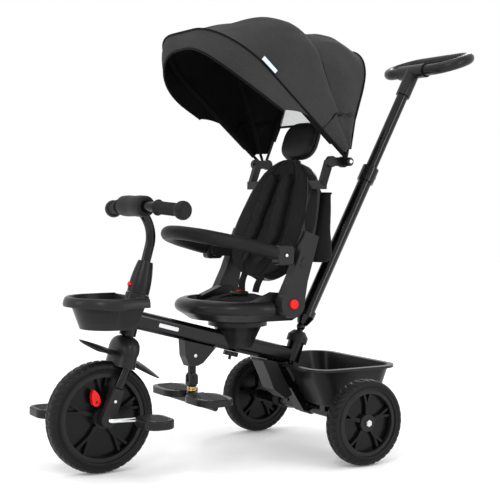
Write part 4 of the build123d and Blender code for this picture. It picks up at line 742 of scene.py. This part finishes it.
def liner_height(x_share, up):
    """Padding above the shell: raised wings, a central column and sewn cross channels."""
    edge = math.sqrt(max(0.0, 1 - abs(x_share) ** 44))
    ends = min(1.0, (up - LINER_LOW) / 9, (LINER_HIGH - up) / 9)
    ends = math.sqrt(max(0.0, 1 - (1 - max(0.0, ends)) ** 2))
    wing = 1.5 * math.exp(-((abs(x_share) - 0.8) / 0.2) ** 2)
    column_seam = 3.6 * math.exp(-((abs(x_share) - 0.5) / 0.035) ** 2)
    cross = 0.0
    for seam in (118, 176, 234, 290):
        if abs(x_share) < 0.5:
            cross += 3.0 * math.exp(-((up - seam) / 4.5) ** 2)
    wrinkle = 1.1 * noise.noise(Vector((x_share * 3, up / 34, 0.3)))
    wrinkle += 0.5 * noise.noise(Vector((x_share * 9, up / 12, 2)))
    return (33.0 + wing - column_seam - cross + wrinkle) * (0.15 + 0.85 * edge * ends)


rows, columns = 84, 81
points = []
for i in range(rows):
    up = LINER_LOW + (LINER_HIGH - LINER_LOW) * i / (rows - 1)
    half = liner_half(up)
    for j in range(columns):
        share = math.sin(math.pi / 2 * (-1 + 2 * j / (columns - 1)))
        points.append(on_back(half * share, up, SHELL_FACE + liner_height(share, up)))
back_liner = new_piece("seat_liner_back", points, grid_faces(rows, columns), LINER, "backrest",
                       80)
thick = back_liner.modifiers.new("cloth", "SOLIDIFY")
thick.thickness = 0.002
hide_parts("back_liner")


def liner_top(x, up):
    """Padding height under a strap."""
    half = liner_half(up)
    return SHELL_FACE + liner_height(max(-1, min(1, x / half)), up)


def strip(name, centres, width, thickness, material, body, bulge=0.0):
    """Flat strap or pad along (x, up, out) centres on the backrest, with rounded section."""
    points = []
    section = 14
    for i, (x, up, out) in enumerate(centres):
        ahead = centres[min(i + 1, len(centres) - 1)]
        behind = centres[max(i - 1, 0)]
        along = (on_back(*ahead) - on_back(*behind)).normalized()
        normal = (BACK_OUT - along * BACK_OUT.dot(along)).normalized()
        side = along.cross(normal)
        share = i / (len(centres) - 1)
        taper = math.sqrt(max(0.05, 1 - abs(2 * share - 1) ** 9))
        puff = 1 + bulge * math.sin(share * math.pi * 6) ** 2
        for j in range(section):
            angle = 2 * math.pi * j / section
            c, s = math.cos(angle), math.sin(angle)
            c = math.copysign(abs(c) ** 0.45, c)
            s = math.copysign(abs(s) ** 0.7, s)
            across = side * c * width / 2 * taper * MM
            points.append(on_back(x, up, out) + across + normal * s * thickness / 2 * puff * MM)
    faces = grid_faces(len(centres), section, close_columns=True)
    faces += [tuple(range(section)), tuple(range((len(centres) - 1) * section, len(centres) * section))]
    return new_piece(name, points, faces, material, body, 60)


for side, hand in ((1, "left"), (-1, "right")):
    track = []
    for k in range(33):
        share = k / 32
        up = 304 - 176 * share
        x = side * (30 + 22 * share)
        track.append((x, up, liner_top(x, up) + 6.5))
    shoulder = strip(f"shoulder_pad_{hand}", track, 42, 13, WEBBING, "backrest", 0.25)
    web = []
    for k in range(25):
        share = k / 24
        up = 136 - 62 * share
        x = side * (50 - 22 * share)
        web.append((x, up, liner_top(x, up) + 6 + 14 * share ** 2))
    strip(f"webbing_{hand}", web, 22, 2.2, WEBBING, "backrest")
    slot_path = [(side * 30 + d, 306, liner_top(side * 30, 306) + 1.2) for d in (-15, -5, 5, 15)]
    strip(f"strap_slot_{hand}", slot_path, 7, 2.5, PIPING, "backrest")


def pillow(local):
    """Sides pull in a little between the corners, and the face is crowned."""
    x, y, z = local
    pull = 1 - 0.07 * (1 - abs(x)) * abs(y) ** 3 - 0.07 * (1 - abs(y)) * abs(x) ** 3
    return [x * pull, y * pull, z * (1.0 - 0.25 * (x * x + y * y) / 2)]


HEAD_UP = 347 + 4.5 + 49
headrest = superellipsoid("headrest_pillow", on_back(0, HEAD_UP, 8), (X, BACK_UP, BACK_OUT),
                          (67.5, 49.5, 22),
                          (0.62, 0.8), FOAM, "backrest", (30, 64), pillow)
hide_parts("headrest")
welt = []
for k in range(96):
    angle = 2 * math.pi * k / 96
    c, s = math.cos(angle), math.sin(angle)
    c = math.copysign(abs(c) ** 0.8, c)
    s = math.copysign(abs(s) ** 0.8, s)
    pulled = pillow([c, s, 0])
    welt.append(on_back(pulled[0] * 67.8, HEAD_UP + pulled[1] * 49.8, 8))
tube("headrest_welt", welt, 1.7, PIPING, "backrest", 8, closed=True)

# ---------------------------------------------------------------- seat cushion, buckle and crotch strap
SEAT_AT = Vector(JOINTS["seat_swivel"]["pos_m"])
cushion_low, cushion_high = (Vector(c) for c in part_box("seat_cushion"))
cushion_half = (cushion_high.x - cushion_low.x) / 2 / MM
cushion_rear = (cushion_high.y - SEAT_AT.y) / MM
rings, spokes = 26, 88
points = []
for i in range(rings + 1):
    share = i / rings
    for j in range(spokes):
        angle = 2 * math.pi * j / spokes
        c, s = math.cos(angle), math.sin(angle)
        if s > 0:
            scale = min(1 / max(abs(c), 1e-6), cushion_rear / cushion_half / max(s, 1e-6), 1.32)
        else:
            scale = 1.0
        x = c * cushion_half * share * scale
        y = s * cushion_half * share * scale
        dome = 1 - share ** 7
        seam = 2.6 * math.exp(-((share - 0.7) / 0.03) ** 2)
        channel = sum(2.2 * math.exp(-((x - at) / 3.5) ** 2) for at in (-34, 34)) if share < 0.7 else 0
        crown = 12 * (1 - share ** 2) + 2.4 * noise.noise(Vector((x / 26, y / 22, 1.7)))
        rear_rise = 20 * max(0.0, s) * share ** 1.5
        z = (22.0 + crown + rear_rise - seam - channel) * dome
        points.append(Vector((x * MM, SEAT_AT.y + y * MM, cushion_low.z + z * MM)))
seat_pad = new_piece("seat_cushion_pad", points, grid_faces(rings + 1, spokes, close_columns=True), LINER,
                     "seat",
                     80)
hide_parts("seat_cushion")
buckle_at = Vector((0, SEAT_AT.y + 4 * MM, cushion_high.z + 14 * MM))
superellipsoid("harness_buckle", buckle_at, (X, Y, Z), (22, 17, 6), (0.5, 0.5),
                        PLASTIC, "seat", (14, 32))
rivet("buckle_button", buckle_at + Vector((0, 0, 0.0055)), Z, 8, RED, "seat", 2.0)
crotch = [buckle_at + Vector((0, -0.012 - 0.010 * k, -0.001 - 0.009 * (k / 5) ** 2)) for k in range(6)]
WEBBING_SECTION = ((-0.5, -0.3), (-0.47, -0.5), (0.47, -0.5), (0.5, -0.3), (0.5, 0.3), (0.47, 0.5),
                   (-0.47, 0.5), (-0.5, 0.3))


def ribbon(name, path, across, width, thickness, material, body):
    """Flat webbing along a path, its width along one direction."""
    points = []
    for i, point in enumerate(path):
        along = (path[min(i + 1, len(path) - 1)] - path[max(i - 1, 0)]).normalized()
        normal = along.cross(across).normalized()
        for x, z in WEBBING_SECTION:
            points.append(point + (across * x * width + normal * z * thickness) * MM)
    faces = grid_faces(len(path), 8, close_columns=True)
    faces += [tuple(range(8)), tuple(range((len(path) - 1) * 8, len(path) * 8))]
    return new_piece(name, points, faces, material, body, 60)


for side, hand in ((1, "left"), (-1, "right")):
    top = on_back(side * 40, 58, 24)
    foot = Vector((side * 0.03, SEAT_AT.y + 0.03, cushion_high.z + 0.017))
    drop = [top.lerp(foot, k / 16) + Vector((0, -0.004 * math.sin(math.pi * k / 16), 0)) for k in range(17)]
    lower = ribbon(f"lower_strap_{hand}", drop, X, 27, 2.6, WEBBING, None)
    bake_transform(lower)
ribbon("crotch_strap", crotch, X, 24, 2.4, WEBBING, "seat")


bag_low, bag_high = (Vector(c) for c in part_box("storage_bag"))
bag_height = bag_high.z - bag_low.z
rows, columns = 40, 72
points = []
for i in range(rows + 1):
    share = i / rows
    z = bag_low.z + bag_height * share
    belly = math.sin(math.pi / 2 * min(1.0, (share + 0.04) / 0.16)) ** 0.7
    back_y = bag_high.y - (4 + 14 * share) * MM
    front_y = bag_low.y + (4 + (bag_high.y - bag_low.y - 0.052) / MM * share ** 0.8) * MM
    depth_half = (back_y - front_y) / 2 * belly
    front_y = back_y - 2 * depth_half - (back_y - front_y - 2 * depth_half) / 2
    for j in range(columns):
        angle = 2 * math.pi * j / columns
        c, s = math.cos(angle), math.sin(angle)
        x = math.copysign(abs(c) ** 0.35, c) * (98 - 4 * math.sin(math.pi * share)) * MM
        y = front_y + depth_half + math.copysign(abs(s) ** 0.6, s) * depth_half
        fold = 1.6 * noise.noise(Vector((x * 22, z * 30, 0.5))) + 2.0 * noise.noise(Vector((x * 9, z * 7,
                                                                                            5)))
        y = min(y + fold * MM * (0.3 if s < 0 else 1.0), bag_high.y)
        points.append(Vector((x, y, z)))
faces = grid_faces(rows + 1, columns, close_columns=True)
faces.append(tuple(range(columns)))
bag = new_piece("cloth_bag", points, faces, BAG, "backrest", 70)
cloth = bag.modifiers.new("cloth", "SOLIDIFY")
cloth.thickness = 0.0018
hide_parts("storage_bag")
hem = [Vector(p) for p in points[-columns:]]
tube("bag_hem", hem, 2.6, PIPING, "backrest", 8, closed=True)
for side, hand in ((1, "left"), (-1, "right")):
    top = Vector((side * 84 * MM, bag_low.y + 46 * MM, bag_high.z - 4 * MM))
    shell_at = on_back(side * 84, 292, -12)
    tube(f"bag_strap_{hand}", [top.lerp(shell_at, k / 6) + Vector((0, 0, 0.006 * math.sin(math.pi * k / 6)))
                               for k in range(7)], 5, WEBBING, "backrest", 12,
         shape=lambda t, a: 0.25 + 0.75 * abs(math.cos(a)))

# ---------------------------------------------------------------- canopy
KNEE, FOOT = 110.0, 30.0
CLOTH_OUT = 6.5
FRONT_ANGLE, MID_ANGLE, REAR_ANGLE = 49.5, 20.0, -17.0
# foot half-width, half-width, reach and corner of the cloth over each bow
FRONT_CLOTH = (186.2 + CLOTH_OUT, 186 + CLOTH_OUT, 438 + CLOTH_OUT, 135 + CLOTH_OUT)
MID_CLOTH = (178.6 + CLOTH_OUT, 178 + CLOTH_OUT, 313 + CLOTH_OUT, 88 + CLOTH_OUT)
REAR_CLOTH = (171 + CLOTH_OUT, 157 + CLOTH_OUT, 275 + CLOTH_OUT, 92 + CLOTH_OUT)
STRAIGHT, BEND = 7, 14


def bow_line(foot, half, reach, corner):
    """Outline of one bow as (x, reach) points."""
    corners = [(foot, FOOT), (half, KNEE), (half, reach), (-half, reach), (-half, KNEE), (-foot, FOOT)]
    return rounded_path(corners, [50, corner, corner, 50], STRAIGHT, BEND)


def gore(name, angle_a, cloth_a, angle_b, cloth_b, puff, skew, material, steps=28):
    """Panel of cloth from one bow to the next, blown out most near the first one and creased at its seams."""
    line_a, line_b = bow_line(*cloth_a), bow_line(*cloth_b)
    count = len(line_a)
    points = []
    for i in range(steps + 1):
        share = i / steps
        swell = math.sin(math.pi * share ** skew) ** 1.4
        tension = math.sin(math.pi * share) ** 0.5
        for j in range(count):
            start, end = on_canopy(angle_a, *line_a[j]), on_canopy(angle_b, *line_b[j])
            flat = start.lerp(end, share)
            t = j / (count - 1)
            crown = math.sin(math.pi * t) ** 0.7
            crease = 7.0 * noise.noise(Vector((t * 20, share * 1.6, angle_a)))
            crease += 4.5 * noise.noise(Vector((t * 44, share * 2.6, angle_b)))
            out = puff * swell * (0.3 + 0.7 * crown) + crease * tension
            points.append(flat + (flat - CANOPY_AT).normalized() * out * MM)
    return new_piece(name, points, grid_faces(steps + 1, count), material, None, 80)


def make_sheet(obj, thickness=0.0016):
    if sum((p.center - CANOPY_AT).dot(p.normal) * p.area for p in obj.data.polygons) < 0:
        obj.data.flip_normals()
    # The inner faces get the near-black cloth through the solidify material offset: painted shade under the canopy
    # and visor.
    obj.data.materials.append(BLACK_CLOTH_AND_SHADE)
    shell = obj.modifiers.new("cloth", "SOLIDIFY")
    shell.thickness = thickness
    shell.offset = -1.0
    shell.material_offset = 1


mid_gore = gore("canopy_middle_gore", MID_ANGLE, MID_CLOTH, FRONT_ANGLE, FRONT_CLOTH, 33, 0.5, CANVAS)
rear_gore = gore("canopy_rear_gore", REAR_ANGLE, REAR_CLOTH, MID_ANGLE, MID_CLOTH, 13, 0.9, CANVAS)
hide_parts("canopy_mid_panel")
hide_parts("canopy_rear_panel")
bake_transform(mid_gore)
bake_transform(rear_gore)
make_sheet(mid_gore)
make_sheet(rear_gore)

VISOR_ANGLE, VISOR_DROP, VISOR_HALF, VISOR_REACH, VISOR_CORNER = 59.6, 5.9, 184.0, 422.0, 160.0
visor_back = rounded_path([(192.5, 150), (192.5, 444.5), (-192.5, 444.5), (-192.5, 150)], [141.5, 141.5],
                          12, 16)
visor_front = rounded_path([(VISOR_HALF, 215), (VISOR_HALF, VISOR_REACH), (-VISOR_HALF, VISOR_REACH),
                            (-VISOR_HALF, 215)], [VISOR_CORNER, VISOR_CORNER], 12, 16)


def on_visor(share, j):
    """Point of the visor: share 0 on the front bow's seam and 1 at its hem, which dips at the crown."""
    flat = visor_back[j].lerp(visor_front[j], share)
    hem_angle = VISOR_ANGLE - VISOR_DROP * (1 - (visor_front[j].x / VISOR_HALF) ** 2)
    wave = 2.2 * noise.noise(Vector((j / 6.0, share * 1.5, 3))) * share + 4 * math.sin(math.pi * share)
    flat = flat + flat.normalized() * wave
    return on_canopy(FRONT_ANGLE + (hem_angle - FRONT_ANGLE) * share, flat.x, flat.y)


steps = 12
points = [on_visor(i / steps, j) for i in range(steps + 1) for j in range(len(visor_back))]
visor = new_piece("canopy_visor_cloth", points, grid_faces(steps + 1, len(visor_back)), CANVAS,
                  "canopy_front",
                  80)
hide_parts("canopy_visor")
make_sheet(visor, 0.0022)
visor_rim = [on_visor(1.0, j) for j in range(len(visor_front))]
tube("visor_hem", visor_rim, 2.6, PIPING, "canopy_front", 10)
for label, angle, cloth_size, body in (("front", FRONT_ANGLE, FRONT_CLOTH, "canopy_front"),
                                       ("middle", MID_ANGLE, MID_CLOTH, "canopy_middle"),
                                       ("rear", REAR_ANGLE, REAR_CLOTH, "backrest")):
    seam = [on_canopy(angle, p.x * 1.004, p.y + 1.2) for p in bow_line(*cloth_size)]
    tube(f"canopy_piping_{label}", seam, 2.4, PIPING, body, 10)
    sleeve = [on_canopy(angle, p.x * 0.965, p.y - 9) for p in bow_line(*cloth_size)][4:-4]
    tube(f"canopy_sleeve_{label}", sleeve, 7.0, BLACK_CLOTH_AND_SHADE, body, 12)

# netting between the rear bow's legs
rows, columns = 22, 30
window_half, window_low, window_high, window_corner = 151.0, 101.0, 268.0, 85
points = []
for i in range(rows + 1):
    reach = window_low + (window_high - window_low) * i / rows
    over = max(0.0, reach - (window_high - window_corner)) / window_corner
    half = window_half - window_corner * (1 - math.sqrt(max(0.0, 1 - over ** 2)))
    for j in range(columns + 1):
        share = -1 + 2 * j / columns
        sag = 3.0 * (1 - share ** 2) * math.sin(math.pi * i / rows)
        lean = math.radians(REAR_ANGLE)
        backward = Vector((0, math.cos(lean), math.sin(lean)))
        points.append(on_canopy(REAR_ANGLE, half * share, reach) + backward * sag * MM)
window = new_piece("canopy_netting", points, grid_faces(rows + 1, columns + 1), NETTING, "backrest",
                   80)
tube("netting_hem", [Vector(p) for p in points[:columns + 1]], 3.0, PIPING, "backrest",
     8)

# plain tag on the front seam, on the left of the crown
TAG_FROM, TAG_LENGTH = Vector((190.0, 330.0)), 44.0
tag_points = []
for i in range(6):
    for j in range(4):
        run_down = TAG_LENGTH * i / 5
        x, reach = TAG_FROM.x + 2.5 * i / 5 + 8.0, TAG_FROM.y - run_down
        tag_points.append(on_canopy(FRONT_ANGLE - 0.2 - 0.55 * j, x + 1.2 * j / 3, reach))
tag = new_piece("canopy_tag", tag_points, grid_faces(6, 4), TAG, "canopy_front", 80)
tag_cloth = tag.modifiers.new("cloth", "SOLIDIFY")
tag_cloth.thickness = 0.001

# ---------------------------------------------------------------- small fittings
for side, hand in ((1, "left"), (-1, "right")):
    rivet(f"canopy_cap_{hand}", CANOPY_AT + X * side * 0.1908, X * side, 8.5, PLASTIC, "canopy_front",
          3)
    rivet(f"canopy_rivet_{hand}", CANOPY_AT + X * side * 0.1932, X * side, 4.5, WHITE, "canopy_front",
          2.0)
    rivet(f"boot_rivet_{hand}", on_steer(side * 49.1, -13.5, 42), X * side, 3.4, WHITE, "steering",
          1.6)
    bracket_at = place(side * 15.2, -326.9, 248.0)
    rivet(f"bracket_rivet_{hand}", bracket_at, X * side, 4.2, WHITE, "frame", 2.0)
    rivet(f"guard_screw_{hand}", GUARD_AT + X * side * 0.1732, X * side, 3.6, WHITE, "guard", 1.6)
    rivet(f"guard_screw_inner_{hand}", GUARD_AT + X * side * 0.1450, -X * side, 4.2, WHITE, "guard",
          1.6)
    at = Vector(JOINTS[f"pedal_{hand}_spin"]["pos_m"])
    low, high = (Vector(c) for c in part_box(f"pedal_{hand}"))
    for k in range(7):
        x = low.x + (high.x - low.x) * (0.14 + 0.12 * k)
        depth = (0.42 if k in (0, 6) else 0.72) * (high.y - low.y)
        slab(f"pedal_rib_{hand}_{k}", rounded_rectangle(3.4, depth / MM, 1.6),
             Vector((x, at.y, high.z - 0.0004)), X,
             Y, Z, 1.4, PLASTIC, f"{hand}_pedal", 0.4)
    foot_low, foot_high = (Vector(c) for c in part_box("footrest"))
    for k in range(9):
        x = side * (26 + 13.2 * k) * MM
        reach = math.sqrt(max(0.1, 1 - ((x * 1000 / side - 80) / 66) ** 2)) * 62
        slab(f"foot_rib_{hand}_{k}", rounded_rectangle(4.2, reach, 1.9),
             Vector((x, (foot_low.y + foot_high.y) / 2, foot_high.z - 0.0004)), X, Y, Z,
             1.6, PLASTIC, "foot_support", 0.5)

# plain stripe on both sides of the main tube
TUBE_FALL, TUBE_RUN = 0.2588, 0.9659
tube_dir = Vector((0, TUBE_RUN, -TUBE_FALL)).normalized()
for side, hand in ((1, "left"), (-1, "right")):
    start = on_steer(side * 15.05, 34, 227.5) + tube_dir * 0.056
    slab(f"tube_stripe_{hand}", rounded_rectangle(52, 9, 3), start, tube_dir,
         Vector((0, TUBE_FALL, TUBE_RUN)), X * side, 0.25,
         STRIPE, "frame", 0)

# ---------------------------------------------------------------- floor, light and camera
floor_mesh = bpy.data.meshes.new("floor")
floor_mesh.from_pydata([(-8, -8, 0), (8, -8, 0), (8, 8, 0), (-8, 8, 0)], [], [(0, 1, 2, 3)])
floor = bpy.data.objects.new("floor", floor_mesh)
bpy.context.scene.collection.objects.link(floor)
floor_look, tree, shader, coords = node_material("floor_paper")
paper = ramp(tree, noise_node(tree, coords, 3.0), (0.92, 0.92, 0.92), (0.95, 0.95, 0.95))
tree.links.new(paper, shader.inputs["Base Color"])
shader.inputs["Roughness"].default_value = 0.9
shader.inputs["Specular IOR Level"].default_value = 0.1
shader.inputs["Emission Color"].default_value = (1, 1, 1, 1)
shader.inputs["Emission Strength"].default_value = 0.09
floor_mesh.materials.append(floor_look)

world = bpy.data.worlds.new("studio")
world.use_nodes = True
world.node_tree.nodes["Background"].inputs["Color"].default_value = (1, 1, 1, 1)
world.node_tree.nodes["Background"].inputs["Strength"].default_value = 1.0
bpy.context.scene.world = world
bpy.context.scene.view_settings.view_transform = "Standard"


def area_light(name, location, target, size, power):
    """Soft box aimed at a point."""
    data = bpy.data.lights.new(name, "AREA")
    data.shape = "RECTANGLE"
    data.size, data.size_y = size
    data.energy = power
    obj = bpy.data.objects.new(name, data)
    obj.location = location
    obj.rotation_mode = "QUATERNION"
    obj.rotation_quaternion = (Vector(target) - Vector(location)).to_track_quat("-Z", "Y")
    bpy.context.scene.collection.objects.link(obj)


area_light("key", (1.9, -1.9, 2.3), (0, -0.1, 0.5), (0.3, 1.6), 26)
area_light("side", (2.2, 0.9, 1.1), (0, 0.1, 0.5), (0.3, 1.6), 13)
area_light("top", (0.1, -0.2, 2.9), (0, 0, 0.4), (1.8, 0.5), 12)
area_light("front", (-0.6, -2.6, 1.5), (0, 0, 0.5), (0.3, 1.4), 10)
area_light("rim", (-1.4, 2.0, 2.0), (0, 0, 0.6), (0.5, 1.4), 14)

CAMERA_AT = (2299.1, -1618.2, 601.2)
AZIMUTH, ELEVATION, ROLL = 57.78, 2.13, 0.69
FOCAL_PX, CENTRE_X, CENTRE_Y, FRAME_PX = 1140.3, 251.25, 245.75, 500
azimuth, elevation, roll = (math.radians(v) for v in (AZIMUTH, ELEVATION, ROLL))
right = Vector((math.cos(azimuth), math.sin(azimuth), 0))
level = math.cos(elevation)
backward = Vector((math.sin(azimuth) * level, -math.cos(azimuth) * level, math.sin(elevation)))
upward = backward.cross(right)
rolled_right = right * math.cos(roll) + upward * math.sin(roll)
rolled_up = upward * math.cos(roll) - right * math.sin(roll)
camera_data = bpy.data.cameras.new("camera")
camera_data.sensor_width = 36
camera_data.lens = FOCAL_PX * 36 / FRAME_PX
camera_data.shift_x = (FRAME_PX / 2 - CENTRE_X) / FRAME_PX
camera_data.shift_y = (CENTRE_Y - FRAME_PX / 2) / FRAME_PX
camera = bpy.data.objects.new("camera", camera_data)
axes = Matrix((rolled_right, rolled_up, backward)).transposed().to_4x4()
camera.matrix_world = Matrix.Translation(place(*CAMERA_AT)) @ axes
bpy.context.scene.collection.objects.link(camera)
bpy.context.scene.camera = camera
